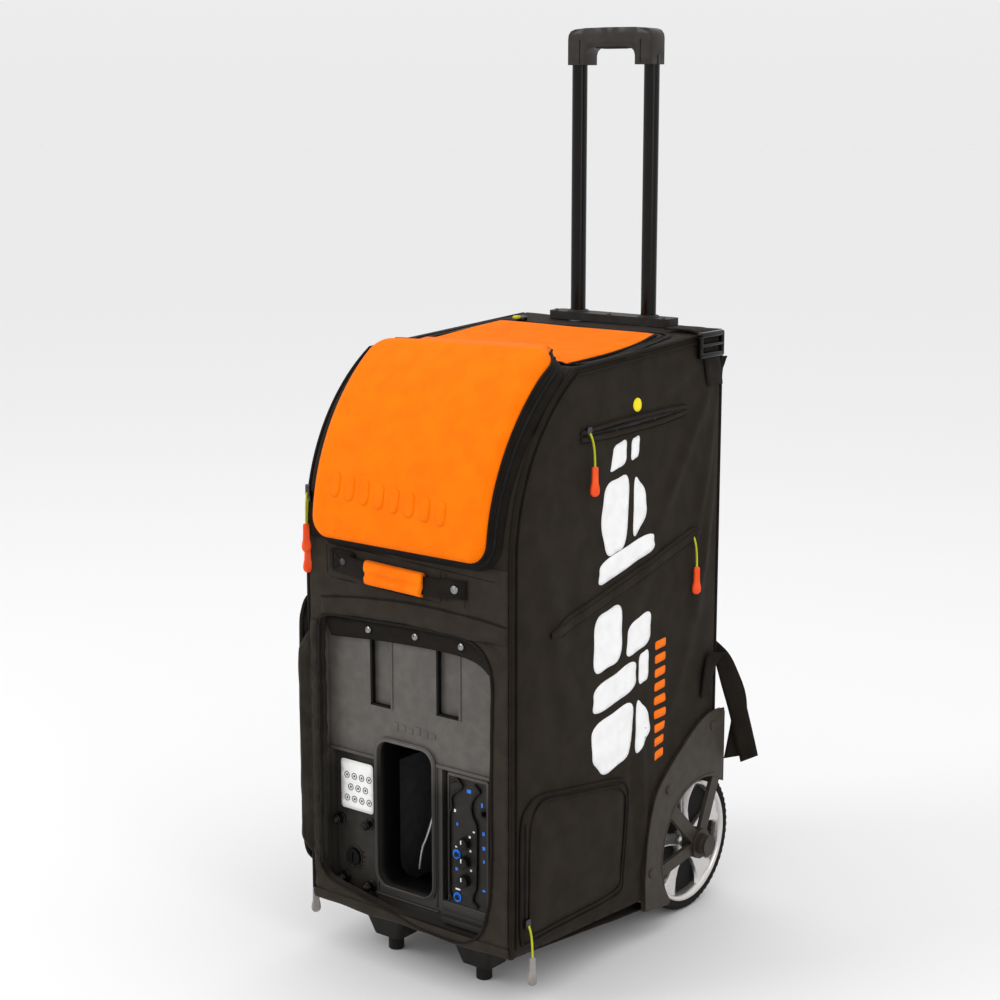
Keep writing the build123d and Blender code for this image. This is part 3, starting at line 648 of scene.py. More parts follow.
def ribbon(name, centres, across, thick=1.6 * MM):
    """Flat strap along centres; across is the half width as a vector, or one for each centre."""
    halves = across if isinstance(across, list) else [across] * len(centres)
    verts = [Vector(c) + Vector(h) * share for c, h in zip(centres, halves) for share in (-0.98, -0.5, 0, 0.5, 0.98)]
    return solidify(raw_mesh(name, verts, quads(len(centres), 5, ring=False)), thick, 0.0)


def smooth_path(points, per_span=5):
    """Catmull-Rom curve through points in space, in metres."""
    n = len(points)
    made = []
    for k in range(n - 1):
        quad = [Vector(points[min(max(k + j, 0), n - 1)]) for j in (-1, 0, 1, 2)]
        made += [sum((c * p for c, p in zip(w, quad)), Vector()) for w in spline_weights(per_span)]
    return made + [Vector(points[-1])]


# ---------------------------------------------------------------- shape of the bag
CROWN_Y = FRONT_Y + CROWN_R       # the front curves over to the top round this point, at height CROWN_Z
FOOT_Z = BASE_FRONT_Z


def top_z(y):
    return TOP_REAR_Z + (y - REAR_Y) * TOP_SLOPE


def base_z(y):
    return BASE_FRONT_Z + (BASE_REAR_Z - BASE_FRONT_Z) * (y - FRONT_Y) / (REAR_Y - FRONT_Y)


ARC_END = next(a for a in steps(0.8, 1.2, 4001)
               if CROWN_Z + CROWN_R * math.sin(a) >= top_z(CROWN_Y - CROWN_R * math.cos(a)))
CROWN_S = CROWN_Z - FOOT_Z
SHOULDER_S = CROWN_S + ARC_END * CROWN_R
SLOPE_A = math.atan(TOP_SLOPE)


def skin(s, out=0.0):
    """(y, z) and outward (y, z) direction at s along the front face, over the shoulder and onto the top."""
    if s <= CROWN_S:
        return (FRONT_Y - out, FOOT_Z + s), (-1.0, 0.0)
    a = min((s - CROWN_S) / CROWN_R, ARC_END)
    run = max(s - SHOULDER_S, 0.0)
    c, t = math.cos(a), math.sin(a)
    if run == 0:
        return (CROWN_Y - (CROWN_R + out) * c, CROWN_Z + (CROWN_R + out) * t), (-c, t)
    y, z = CROWN_Y - CROWN_R * c, CROWN_Z + CROWN_R * t
    c, t = math.cos(SLOPE_A), math.sin(SLOPE_A)
    return (y + run * c - out * t, z + run * t + out * c), (-t, c)


SHOULDER_Y = skin(SHOULDER_S)[0][0]
WELL = 0.113                      # radius of the space for the wheel
WELL_START = math.pi + 0.42


def side_loop(inset=0.0):
    """Outline of a side panel in (y, z), with the wheel space cut out."""
    loop = [(FRONT_Y + inset, base_z(FRONT_Y) + inset)]
    loop += [skin(s, -inset)[0] for s in steps(CROWN_S, SHOULDER_S, 26)]
    loop += [(REAR_Y - inset, top_z(REAR_Y) - inset)]
    for a in steps(math.acos((REAR_Y - WHEEL_Y) / WELL), WELL_START, 22):
        loop.append((WHEEL_Y + WELL * math.cos(a), WHEEL_R + WELL * math.sin(a)))
    return loop


SIDE_FOLDS = [
    (206, 806, 40, 560, 12, 3.0), (214, 770, 130, 480, 10, 2.6), (190, 826, -30, 735, 11, 2.0),
    (218, 716, 150, 400, 9, 2.4), (200, 620, 110, 330, 13, 2.0), (70, 610, -70, 360, 20, 2.0),
    (26, 330, 46, 110, 8, 3.2), (4, 320, 22, 110, 6, -2.2), (44, 350, 62, 225, 8, 2.2),
    (-205, 590, -120, 330, 24, 2.2), (-238, 560, -180, 300, 12, 1.6), (-228, 700, -160, 470, 18, 2.0),
    (-200, 330, -40, 300, 9, 1.8), (150, 420, 60, 290, 16, 2.2), (-60, 820, 100, 800, 10, -1.6),
]


def side_x(y, z, seed=0.0):
    """How far out the side panel stands: a soft pad with creases."""
    gap = min(y - FRONT_Y, REAR_Y - y, top_z(y) - z, z - base_z(y))
    if z > CROWN_Z and y < CROWN_Y:
        gap = min(gap, CROWN_R - math.hypot(y - CROWN_Y, z - CROWN_Z))
    well = math.hypot(y - WHEEL_Y, z - WHEEL_R) - WELL
    gap = min(gap, well)
    wave = 1.6 * soft(y + z * 0.35, z * 0.45, 0.075, seed) + 0.7 * soft(y, z * 0.6, 0.03, seed + 5)
    lift = 3.2 * MM * ease(gap / 0.05) + ease(gap / 0.02) * (wave * MM + 1.5 * folds(y, z, SIDE_FOLDS))
    return HALF_W + lift - 2.0 * MM * (1 - ease(gap / 0.007))


def side_pt(y, z, lift=0.0, side=1, seed=0.0):
    return Vector((side * (side_x(y, z, seed) + lift), y, z))


for side, label, seed in ((1, "right", 0.0), (-1, "left", 3.7)):
    panel = cloth(f"side_cloth_{label}", side_loop(), lambda y, z: side_pt(y, z, 0, side, seed), (side, 0, 0),
                  thick=5 * MM)
    finish_piece(panel, "nylon_side", [f"side_panel_{label}"])
    ropes = []
    for inset, x, r in ((0.6 * MM, HALF_W - 0.5 * MM, 2.5 * MM), (9.5 * MM, HALF_W + 1.9 * MM, 1.9 * MM)):
        run = [(side * x, *skin(s, -inset)[0]) for s in steps(0.012, SHOULDER_S, 70)]
        run += [(side * x, y, top_z(y) - inset) for y in steps(SHOULDER_Y + 0.015, REAR_Y - 4 * MM, 22)]
        ropes.append(rope("piping", run, r))
    down = [(side * (HALF_W - 0.8 * MM), REAR_Y - 1.2 * MM, z) for z in steps(top_z(REAR_Y) - 5 * MM, 0.215, 30)]
    ropes.append(rope("piping", down, 2.4 * MM))
    finish_piece(join(f"side_piping_{label}", ropes), "piping")

# ---------------------------------------------------------------- front face
OPENING = [(-153, 456), (-147, 482), (-112, 489), (-63, 491), (0, 494), (58, 495), (104, 492), (130, 480), (144, 452),
           (146, 400), (144, 290), (144, 200), (141, 145), (132, 108), (110, 84), (76, 75), (21, 79), (-35, 89),
           (-90, 98), (-126, 104), (-150, 114), (-158, 136), (-155, 240), (-153, 340)]
FRONT_FOLDS = [(-135, 506, 30, 514, 3.5, -4.0), (0, 514, 150, 500, 3.5, -4.0), (118, 506, 168, 470, 4.0, -3.5),
               (-150, 494, 130, 500, 6, 3.0), (-160, 560, -118, 508, 5, -2.6), (60, 545, 150, 470, 10, 2.0),
               (150, 420, 156, 250, 5, 2.0), (158, 330, 152, 140, 5, -2.0), (110, 92, 166, 150, 8, 2.6),
               (-20, 80, 120, 84, 5, 2.0), (-150, 540, 160, 560, 24, 1.5)]


def front_y(x, z):
    wave = 1.3 * soft(x, z, 0.05, 2.0) + 0.7 * soft(x, z, 0.022, 8.0)
    pucker = 1.6 * math.sin(z * 210 + 2.5 * soft(x, z, 0.04, 51.0)) + soft(x, z, 0.012, 52.0)
    pucker *= ease((-0.148 - x) / 0.01) * ease((0.48 - z) / 0.04)
    return FRONT_Y - 1.5 * MM - (wave + pucker) * MM - folds(x, z, FRONT_FOLDS)


opening = smooth_loop(OPENING)
front_low = FOOT_Z + 3 * MM
outline = [(-EDGE_X, front_low), (EDGE_X, front_low), (EDGE_X, 0.5905), (-EDGE_X, 0.5905)]
finish_piece(cloth("front_cloth", outline, lambda x, z: Vector((x, front_y(x, z), z)), (0, -1, 0), 6 * MM, [opening],
                   4.5 * MM), "nylon_front", ["front_surround"])
rim = [Vector((x, front_y(x, z) - 0.8 * MM, z)) for x, z in divide(opening, 5 * MM)]
finish_piece(rope("opening_piping", rim, 2.3 * MM, True), "piping")
lip = []
centre = Vector((-0.006, 0, 0.285))
for depth, pull in ((0, 0), (3, 0.6), (6, 1.0), (8, 1.2)):
    for p in rim:
        inward = (centre - Vector((p.x, 0, p.z))).normalized() * pull * MM
        lip.append(Vector((p.x, p.y + 2 * MM + depth * MM, p.z)) + inward)
finish_piece(solidify(raw_mesh("opening_lip", lip, quads(4, len(rim))), 1.5 * MM, 0.0), "lining")


def gusset_point(u, v):
    """Puckered lining beside the opening, between the bag and the folded flap."""
    x, z = -0.1690 + 0.0135 * u, 0.130 + 0.345 * v
    edge = math.sin(math.pi * u) ** 0.6
    crease = 2.4 * abs(math.sin(z * 135 + 5 * soft(x, z, 0.06, 71.0) + 60 * x)) + 1.4 * soft(x, z, 0.008, 72.0)
    return Vector((x, FRONT_Y - (3.2 + edge * (2.4 + crease)) * MM, z))


finish_piece(solidify(grid("opening_gusset", gusset_point, steps(0, 1, 12), steps(0, 1, 190)), 1.2 * MM), "lining")


def tuck_point(u, v):
    """Soft tuck that shades the top of the opening."""
    x = -0.150 + 0.319 * u
    top = 0.524 - 0.45 * (x - 0.04) ** 2
    low = 0.4965 - 0.30 * (x - 0.02) ** 2 + 0.006 * ease((x - 0.105) / 0.055)
    z = top + (low - top) * v + 0.8 * MM * soft(x, v * 0.05, 0.03, 61.0)
    out = 1.2 + 6.2 * math.sin(math.pi * min(v, 1) ** 1.5) + 1.6 * v + 1.6 * soft(x, v * 0.03, 0.022, 62.0) * v
    return Vector((x, FRONT_Y - out * MM * ease(min(u, 1 - u) / 0.04) - 0.4 * MM, z))


finish_piece(solidify(grid("opening_tuck", tuck_point, steps(0, 1, 80), steps(0, 1, 14)), 1.6 * MM), "nylon_front")
seam = [tuck_point(u, 0) + Vector((0, -1.6 * MM, 1.5 * MM)) for u in steps(0, 1, 80)]
finish_piece(rope("tuck_seam", seam, 0.9 * MM, False, 8), "piping")


def snap(name, at, axis, r=5.0, look="snap"):
    """Round metal snap fastener, r in millimetres."""
    profile = [(0, 2.6), (r * 0.28, 2.6), (r * 0.34, 2.0), (r * 0.72, 2.5), (r * 0.95, 1.6), (r, 0.4), (r, -0.6),
               (0, -0.6)]
    obj = lathe(name, profile[::-1], (0, 0, 0), "Z", 24)
    turn = Vector(axis).to_track_quat("Z", "Y").to_matrix().to_4x4()
    obj.data.transform(Matrix.Translation(Vector(at)) @ turn)
    return finish_piece(obj, look)


strip = [(x, z) for x, z in smooth_loop([(-148, 481), (-63, 488), (0, 491), (58, 492), (102, 489), (128, 477),
                                         (140, 452)], 6, False)]
band = grid("opening_band", lambda u, v: Vector((
    strip[u][0] * (1 - 0.02 * v), FRONT_Y + (5 + 8 * v) * MM,
    strip[u][1] - v * min(28 * MM, 0.8 * (strip[u][1] - 0.44)))), range(len(strip)), steps(0, 1, 5))
solidify(band, 2 * MM, 0.0)
finish_piece(band, "webbing")
for k, (x, z) in enumerate(((-72, 474), (10, 478), (88, 478))):
    snap(f"opening_snap_{k}", (x * MM, FRONT_Y + 7 * MM, z * MM), (0, -1, 0.25))

# ---------------------------------------------------------------- front lid and its zip
HOOD_X = 147 * MM
HOOD_S0, HOOD_S1 = LID_LOW.z + 5 * MM - FOOT_Z, SHOULDER_S
HOOD_LIFT = 26 * MM               # how far the lid stands off the bag
HOOD_R = 27 * MM                  # its corner radius


def lid_loop(out, side_steps=34, rear=1.0):
    """Outline of the front lid over (x, s), grown by out; rear is the share of out at its rear edge."""
    return round_loop(-HOOD_X - out, HOOD_X + out, HOOD_S0 - out, HOOD_S1 + out * rear, HOOD_R + out, 8, side_steps)


def lid_gap(x, s):
    """Distance in from the lid's rounded edge."""
    qx = abs(x) - (HOOD_X - HOOD_R)
    qs = abs(s - (HOOD_S0 + HOOD_S1) / 2) - ((HOOD_S1 - HOOD_S0) / 2 - HOOD_R)
    return HOOD_R - math.hypot(max(qx, 0), max(qs, 0)) - min(max(qx, qs), 0)


def flare(x, s, out):
    """The rear right corner of the lid stands wider and higher than the rest."""
    along = (s - HOOD_S0) / (HOOD_S1 - HOOD_S0)
    t = ease(along) * min(max((x + HOOD_X) / (2 * HOOD_X), 0), 1.05) ** 0.8
    side = ease((x + 0.02) / 0.17)
    near = ease((s - HOOD_S1 + 60 * MM) / (60 * MM))
    out -= 5 * MM * min(max((x - HOOD_X + 45 * MM) / (45 * MM), 0), 1) ** 2 * near * min(max(out, 0) / (14 * MM), 1)
    raised = out + 9 * MM * t * min(max(out, 0) / (14 * MM), 1)
    (y, z), _ = skin(s + 3 * MM * t * ease(along * 2 - 1), raised)
    return Vector((x + 13 * MM * t * side * (1 - 0.35 * near), y, z))


def lid_point(x, s, sink=0.0):
    gap = max(lid_gap(x, s), 0.0)
    bend = 1 - min(gap / (15 * MM), 1)
    out = HOOD_LIFT - 10 * MM * (1 - math.sqrt(1 - bend * bend)) + 2.0 * MM * ease(gap / 0.12)
    out -= 0.8 * MM * math.exp(-((gap - 21 * MM) / (4 * MM)) ** 2)
    out += 0.4 * MM * soft(x, s, 0.06, 4.0) - sink
    return flare(x, s, out)


rings = [p for inset in (1.0, 2.8, 5.5, 9, 13, 18, 23) for p in lid_loop(-inset * MM)]
lid = cloth("front_lid_shell", lid_loop(0), lid_point, (0, -1, 0.6), 8 * MM, (), 3 * MM, rings)
finish_piece(lid, "orange_cloth", ["front_lid"], body="front_cover")
marks = [(-112 + 26 * k, -96 + 26 * k, 642 - 2 * k, 672 - 2 * k) for k in range(8)]
loops = [round_loop(a * MM, b * MM, (c + 8) * MM - FOOT_Z, (d + 8) * MM - FOOT_Z, 7 * MM, 4) for a, b, c, d in marks]
marks = [cloth("mark", loop, lambda x, s: lid_point(x, s, -0.7 * MM), (0, -1, 0.6), 5 * MM, (), 1.2 * MM)
         for loop in loops]
finish_piece(join("front_lid_marks", marks), "orange_cloth", body="front_cover")
lid = cloth("front_lid_lining", lid_loop(-1.5 * MM), lambda x, s: lid_point(x, s, 3.4 * MM), (0, -1, 0.6), 10 * MM,
            (), 1.5 * MM)
finish_piece(lid, "lining", body="front_cover")


def lid_ring(out, lift, rear=1.0, wall=False):
    """Points and directions along the lid's edge; a wall comes down to the cloth at the rear."""
    made, normals = [], []
    for x, s in lid_loop(out, 60, rear):
        low = ease((s - HOOD_S1 + 9 * MM) / (6 * MM)) * ease((HOOD_X - 18 * MM - abs(x)) / (60 * MM)) if wall else 0.0
        made.append(flare(x, s, lift + (min(lift, 1.5 * MM) - lift) * low))
        normals.append(Vector((0, *skin(s, lift)[1])))
    return made, normals


finish_piece(rope("front_lid_binding", lid_ring(0.2 * MM, 14.6 * MM)[0], 2.0 * MM, True), "piping",
             body="front_cover")
WALL = [(-1.5, 13.5), (1.4, 13.4), (3.2, 11.6), (4.2, 9.8), (4.6, 8.6), (6.2, 6.4), (7.4, 5.8), (9.4, 4.6),
        (11.6, 3.0), (13.4, 1.6), (15.0, -1.0)]
loops = [lid_ring(out * MM, lift * MM, 0.45, wall=True)[0] for out, lift in WALL]
wall = raw_mesh("front_zip_wall", [p for loop in loops for p in loop], quads(len(WALL), len(loops[0])))
finish_piece(solidify(clean(wall), 1.4 * MM), "zip_tape")
path, ups = lid_ring(5.6 * MM, 7.8 * MM, 0.45)
ups = [(up + Vector((math.copysign(1.1, p.x) if abs(p.x) > HOOD_X else 0, 0, 0))).normalized()
       for up, p in zip(ups, path)]
finish_piece(teeth("front_zip_teeth", path, ups, closed=True), "zip_teeth", smooth=False)

outline = [(-DECK_X, 0.584 - FOOT_Z), (DECK_X, 0.584 - FOOT_Z), (DECK_X, SHOULDER_S + 7 * MM),
           (-DECK_X, SHOULDER_S + 7 * MM)]
hole = round_loop(-0.134, 0.134, 0.610 - FOOT_Z, SHOULDER_S - 8 * MM, 20 * MM)


def shoulder_point(x, s):
    lift = (0.4 + 0.9 * soft(x, s, 0.03, 6.0)) * MM
    (y, z), _ = skin(s, lift)
    return Vector((x, y, z))


finish_piece(cloth("shoulder_cloth", outline, shoulder_point, (0, -1, 0.6), 6 * MM, [hole], 4 * MM), "nylon_side",
             ["front_zip_track"])

# ---------------------------------------------------------------- top of the bag and the rear lid
LID_REAR = [(-140, -110), (-60, -111), (60, -111), (140, -110), (147, -96), (148, -30), (147, 20), (143, 66),
            (136, 104), (126, 122), (104, 127), (0, 127), (-120, 127), (-138, 122), (-145, 104), (-148, 20),
            (-148, -96)]


def sag(x, y):
    across = 1 - (x / 0.19) ** 2
    along = ease((0.15 - y) / 0.22) * ease((y + 0.16) / 0.05)
    return 7.5 * MM * max(across, 0.2) * along


def deck_z(x, y):
    wave = 0.9 * soft(x, y, 0.04, 9.0) * MM
    sunk = 6 * MM * math.exp(-((x - 0.15) / 0.04) ** 2 - ((y + 0.03) / 0.09) ** 2)
    return top_z(y) + 1.0 * MM + wave - 0.75 * sag(x, y) * ease((0.169 - abs(x)) / 0.02) - sunk * 0.8


def rear_lid_point(x, y, lift=0.0):
    edge = min(0.149 - abs(x), 0.128 - y)
    drop = 3.5 * MM * (1 - ease(edge / (12 * MM)))
    wave = 0.7 * soft(x, y, 0.07, 1.5) * MM
    return Vector((x, y, top_z(y) + 6.5 * MM + wave - drop - sag(x, y) + lift))


rear_loop = smooth_loop(LID_REAR)
lid = cloth("rear_lid_shell", rear_loop, rear_lid_point, (0, 0, 1), 7 * MM, (), 4 * MM)
finish_piece(lid, "orange_cloth_top", ["top_lid"], body="rear_cover")
ring = [rear_lid_point(x, y, -1.5 * MM) for x, y in divide(rear_loop, 6 * MM)]
finish_piece(rope("rear_lid_binding", ring, 2.1 * MM, True), "piping", body="rear_cover")
outline = [(-DECK_X, SHOULDER_Y + 4 * MM), (DECK_X, SHOULDER_Y + 4 * MM), (DECK_X, REAR_Y - 1 * MM),
           (-DECK_X, REAR_Y - 1 * MM)]
holes = [round_loop(-0.134, 0.134, -0.098, 0.112, 15 * MM)]
holes += [[(x + 15 * MM * math.cos(a), TUBE_Y + 15 * MM * math.sin(a)) for a in steps(0, 5.9, 16)]
          for x in (-TUBE_X, TUBE_X)]
deck = cloth("top_cloth", outline, lambda x, y: Vector((x, y, deck_z(x, y))), (0, 0, 1), 6.5 * MM, holes, 4 * MM)
finish_piece(deck, "nylon_top", ["top_deck"])
tracks, coils = [], []
for grow in (5.0, 15.0):
    run = [(x * (1 + grow * MM / 0.148), y + (grow * MM if y > 0.1 else 0)) for x, y in divide(rear_loop, 6 * MM)
           if y > -0.100]
    split = max(range(len(run)), key=lambda k: math.dist(run[k - 1], run[k]))
    run = run[split:] + run[:split]
    raised = [Vector((x, y, deck_z(x, y) + 1.4 * MM)) for x, y in run]
    if grow < 6:
        coils.append(teeth("rear_zip_teeth", raised, [Vector((0, 0, 1))] * len(raised)))
    tracks.append(ribbon("tape", raised, [((Vector((x, y, 0)).normalized()) * (4.2 * MM)) for x, y in run], 1.8 * MM))
finish_piece(join("rear_zip_tape", tracks), "zip_tape")
finish_piece(coils[0], "zip_teeth", smooth=False)

# ---------------------------------------------------------------- back and underside
BACK_FOLDS = [(-150, 800, -60, 520, 16, 2.2), (150, 800, 50, 500, 16, 2.2), (-140, 380, 90, 300, 18, 2.0),
              (140, 430, -60, 220, 16, 2.0), (0, 760, 10, 420, 20, 1.6)]
outline = [(-EDGE_X, 0.212), (-0.128, 0.212), (-0.128, base_z(REAR_Y) + 4 * MM), (0.128, base_z(REAR_Y) + 4 * MM),
           (0.128, 0.212), (EDGE_X, 0.212), (EDGE_X, top_z(REAR_Y) - 2 * MM), (-EDGE_X, top_z(REAR_Y) - 2 * MM)]


def back_y(x, z):
    gap = min(EDGE_X - abs(x), top_z(REAR_Y) - z, z - 0.05)
    wave = (1.3 * soft(x, z, 0.06, 12.0) + 1.2) * MM + folds(x, z, BACK_FOLDS)
    return REAR_Y - 1.0 * MM + wave * ease(gap / 0.03)


back = cloth("back_cloth", outline, lambda x, z: Vector((x, back_y(x, z), z)), (0, 1, 0), 8 * MM, (), 4 * MM)
finish_piece(back, "nylon_front", ["back_board"])
ring = [Vector((x, back_y(x, z) + 0.6 * MM, z))
        for x, z in divide(round_loop(-0.125, 0.125, 0.26, 0.80, 0.03), 8 * MM)]
finish_piece(rope("back_panel_piping", ring, 1.8 * MM, True), "piping")


def roll_point(u, v):
    """Soft lower edge of the front that rolls under the bag."""
    angle = v * math.pi * 0.62
    r = (9 + 1.6 * soft(u, v * 0.05, 0.05, 3.0)) * MM
    dip = 5 * MM * (math.exp(-((u - 0.079) / 0.05) ** 2) + math.exp(-((u + 0.079) / 0.05) ** 2))
    return Vector((u, FRONT_Y + 8 * MM - r * math.cos(angle), FOOT_Z + 9 * MM - (r + dip * v) * math.sin(angle)))


roll = grid("front_lower_roll", roll_point, steps(-0.172, 0.172, 60), steps(-0.25, 1, 12))
finish_piece(solidify(roll, 3 * MM), "nylon_front")
under = [(-EDGE_X, FRONT_Y + 4 * MM), (EDGE_X, FRONT_Y + 4 * MM), (EDGE_X, 0.070), (0.128, 0.070),
         (0.128, REAR_Y - 2 * MM), (-0.128, REAR_Y - 2 * MM), (-0.128, 0.070), (-EDGE_X, 0.070)]


def under_z(x, y):
    blocks = sum(math.exp(-((x - c) / 0.045) ** 2 - ((y + 0.194) / 0.035) ** 2) for c in (-0.079, 0.079))
    return base_z(y) - (1.4 + 1.5 * soft(x, y, 0.07, 7.0)) * MM - 8 * MM * blocks


base = cloth("base_cloth", under, lambda x, y: Vector((x, y, under_z(x, y))), (0, 0, -1), 9 * MM, (), 1.0 * MM)
finish_piece(base, "nylon_top")

# ---------------------------------------------------------------- launcher face
CAD_LOOKS = {
    # The key switch and ball chute are near-black: painted shade for the dark inside of the recess and the chute.
    "fascia": "launcher_fascia", "cover": "battery_cover", "painted_shade_black": "key_switch ball_chute",
    "fascia_dark": "control_panel feeder_floor hopper_bin", "guard": "wheel_guard_right wheel_guard_left",
    "housing": "handle_housing feeder_rotor", "gloss": "handle_tubes", "foot": "base_tray front_feet",
    "knob": "handle_button speed_knob feed_knob angle_knob thumb_screws", "blue": "start_button power_button",
    "battery": "battery_pack", "rubber": "launch_wheel_low launch_wheel_high",
    "steel": "axle launch_motors launcher_cradle feeder_motor", "aluminium": "launch_head guide_tubes",
    "silver": "rim_right rim_left", "tyre": "tyre_right tyre_left",
    "zinc": "upper_slider diagonal_slider lower_slider", "webbing_side": "rear_strap", "gloss_plain": "rear_buckle",
}
for look, names in CAD_LOOKS.items():
    for name in names.split():
        materials = NODES[name].data.materials
        if not materials:
            materials.append(M[look])
        for k in range(len(materials)):
            materials[k] = M[look]


def bars(name, rects, y0, y1, bevel, look="fascia"):
    """Small raised blocks on the launcher face; each rect is (x0, x1, z0, z1) in millimetres."""
    made = [block("bar", (a * MM, y0, c * MM), (b * MM, y1, d * MM), bevel) for a, b, c, d in rects]
    return finish_piece(join(name, made), look)


# Back and front of the battery cover, and front of the control panel.
BAY_Y = corner("battery_cover", True).y
COVER_FRONT = corner("battery_cover", False).y + 2 * MM
PANEL_FRONT = corner("control_panel", False).y
F = FASCIA_Y
bars("bay_header", [(44.4, 131.6, 301, 315), (44.4, 131.6, 103, 118)], F, BAY_Y - 2 * MM, 1.5 * MM)
# Near-black sheet inside the launch tunnel: painted shade for the dark of the tunnel.
shade_rings = []
for y, inset in ((F + 1 * MM, 0.2 * MM), (F + 12 * MM, 1.0 * MM), (F + 42 * MM, 1.0 * MM)):
    loop = round_loop(-0.068 + inset, 0.032 - inset, 0.114 + inset, 0.322 - inset, 20 * MM, 8)
    shade_rings.append([Vector((x, y, z)) for x, z in loop])
shade_sheet = raw_mesh("tunnel_shade", [p for ring in shade_rings for p in ring], quads(3, len(shade_rings[0])))
finish_piece(solidify(clean(shade_sheet), 0.6 * MM), "painted_shade_black")
bars("channel_shadows", [(-80.5, -76.6, 366, 478), (-80, -44, 365.5, 368.8), (35.5, 39.4, 373, 480),
                         (36, 74, 372.5, 375.8)], F + 0.1 * MM, F + 6 * MM, 0.2 * MM, "painted_shade_black")
bars("fascia_marks", [(-40 + 13 * k, -31 + 13 * k, 338 + 1.5 * (k % 2), 350 - 2 * (k % 3)) for k in range(6)],
     F - 0.9 * MM, F + 0.5 * MM, 0.4 * MM)
bars("fascia_ledges", [(-156, -70, 290, 294.5), (36, 144, 302, 307), (-72, 40, 98, 101), (48, 130, 92, 96)],
     F - 3.0 * MM, F + 1 * MM, 1.2 * MM)
bars("fascia_ribs", [(-42, -39.5, 366, 470), (76, 78.5, 373, 474), (-71, -68, 104, 292), (33.5, 37, 104, 303)],
     F - 1.6 * MM, F + 1 * MM, 0.8 * MM)
muzzle = round_loop(-0.0685, 0.0325, 0.1135, 0.3225, 21 * MM, 8)
ring = [Vector((x, F - 3.4 * MM, z)) for x, z in divide(muzzle, 6 * MM)]
finish_piece(rope("muzzle_rim", ring, 2.4 * MM, True), "fascia")
label = cloth("blank_label", round_loop(-0.1435, -0.0845, 0.205, 0.276,
                                        5 * MM), lambda x, z: Vector((x, COVER_FRONT - 2.6 * MM, z)), (0, -1, 0),
              8 * MM, (), 0.6 * MM)
finish_piece(label, "label")
rings = []
for row, count in enumerate((4, 3, 4)):
    for k in range(count):
        at = (-0.112 + (k - (count - 1) / 2) * 0.0135, COVER_FRONT - 3.0 * MM, 0.2535 - row * 0.0165)
        rings.append(rope("ring", [Vector(at) + Vector((4.3 * MM * c, 0, 4.3 * MM * s)) for c, s in circle(24)],
                          0.5 * MM, True, 6))
        rings.append(block("dot", Vector(at) - Vector((1.5, 0.3, 1.5)) * MM,
                           Vector(at) + Vector((1.5, 0.3, 1.5)) * MM, 0.3 * MM, 1))
finish_piece(join("label_rings", rings), "ink")
ticks = []
for k in range(9):
    angle = math.radians(215 + k * 22)
    at = Vector((KEY_X + 0.0185 * math.cos(angle), COVER_FRONT - 0.2 * MM, KEY_Z + 0.0185 * math.sin(angle)))
    ticks.append(snap(f"tick{k}", at, (0, -1, 0), 0.9))
finish_piece(join("key_ticks", ticks), "housing")
key_ring = [Vector((KEY_X + 13.5 * MM * c, COVER_FRONT - 0.6 * MM, KEY_Z + 15.5 * MM * s)) for c, s in circle(40)]
finish_piece(rope("key_collar", key_ring, 1.3 * MM, True), "cover")
washers = [lathe("washer", [(0, 0.2), (8.2, 0.2), (8.2, -1.6), (6.8, -2.6), (4.6, -2.9),
                            (4.6, -6), (3.4, -6.4), (0, -6.4)], (x * MM, COVER_FRONT, z * MM), "Y", 28)
           for x, z in THUMB_SCREWS]
finish_piece(smooth_by_angle(join("screw_collars", washers)), "knob")
heads = [lathe("knurl", [(0, 0), (6.3, 0.4), (6.9, 2.2), (6.3, 4), (0, 4.6)],
               (x * MM, COVER_FRONT - 12.5 * MM, z * MM), "Y", 18) for x, z in THUMB_SCREWS]
finish_piece(join("screw_heads", heads), "gloss")

RAIL_A = [(62, 296), (71, 303), (80, 294), (76, 288), (66, 280), (60, 272), (62, 256), (57, 246), (57, 150),
          (57, 138), (57, 122), (62, 111)]
RAIL_B = [(100, 300), (110, 292), (102, 284), (96, 274), (94, 262), (97, 250), (103, 240), (104, 228), (103, 140),
          (98, 130), (96, 118), (106, 110)]
rails = []
for points in (RAIL_A, RAIL_B):
    path = [Vector((x * MM, PANEL_FRONT - 2.2 * MM, (122 + (z - 110) * 0.89) * MM)) for x, z in points]
    between = [p.lerp(q, t) for p, q in zip(path, path[1:]) for t in (0.15, 0.5, 0.85)]
    rails.append(rope("rail", [path[0], *between, path[-1]], 2.1 * MM))
finish_piece(join("panel_rails", rails), "gloss")
bars("panel_lip", [(55, 122, 295, 300), (119.5, 123.5, 119, 298), (54, 56.5, 119, 298)], PANEL_FRONT - 2 * MM,
     PANEL_FRONT + 2 * MM, 1.2 * MM)
marks = [(112, 116, 224, 229), (112, 117, 204, 209), (113, 116, 186, 190), (112, 117, 146, 149), (68, 71, 228, 232),
         (66, 70, 165, 169), (86, 93, 277, 282), (110, 113, 262, 268)]
bars("panel_marks", marks, PANEL_FRONT - 0.5 * MM, PANEL_FRONT + 0.5 * MM, 0.2 * MM, "blue")
bars("panel_dashes", [(89, 92, 215, 218), (90, 93, 196, 199), (91, 94, 169, 172), (66, 73, 197, 199),
                      (66, 74, 138, 140), (64, 67, 246, 250), (96, 99, 224, 226)], PANEL_FRONT - 0.5 * MM,
     PANEL_FRONT + 0.5 * MM, 0.2 * MM, "print_white")
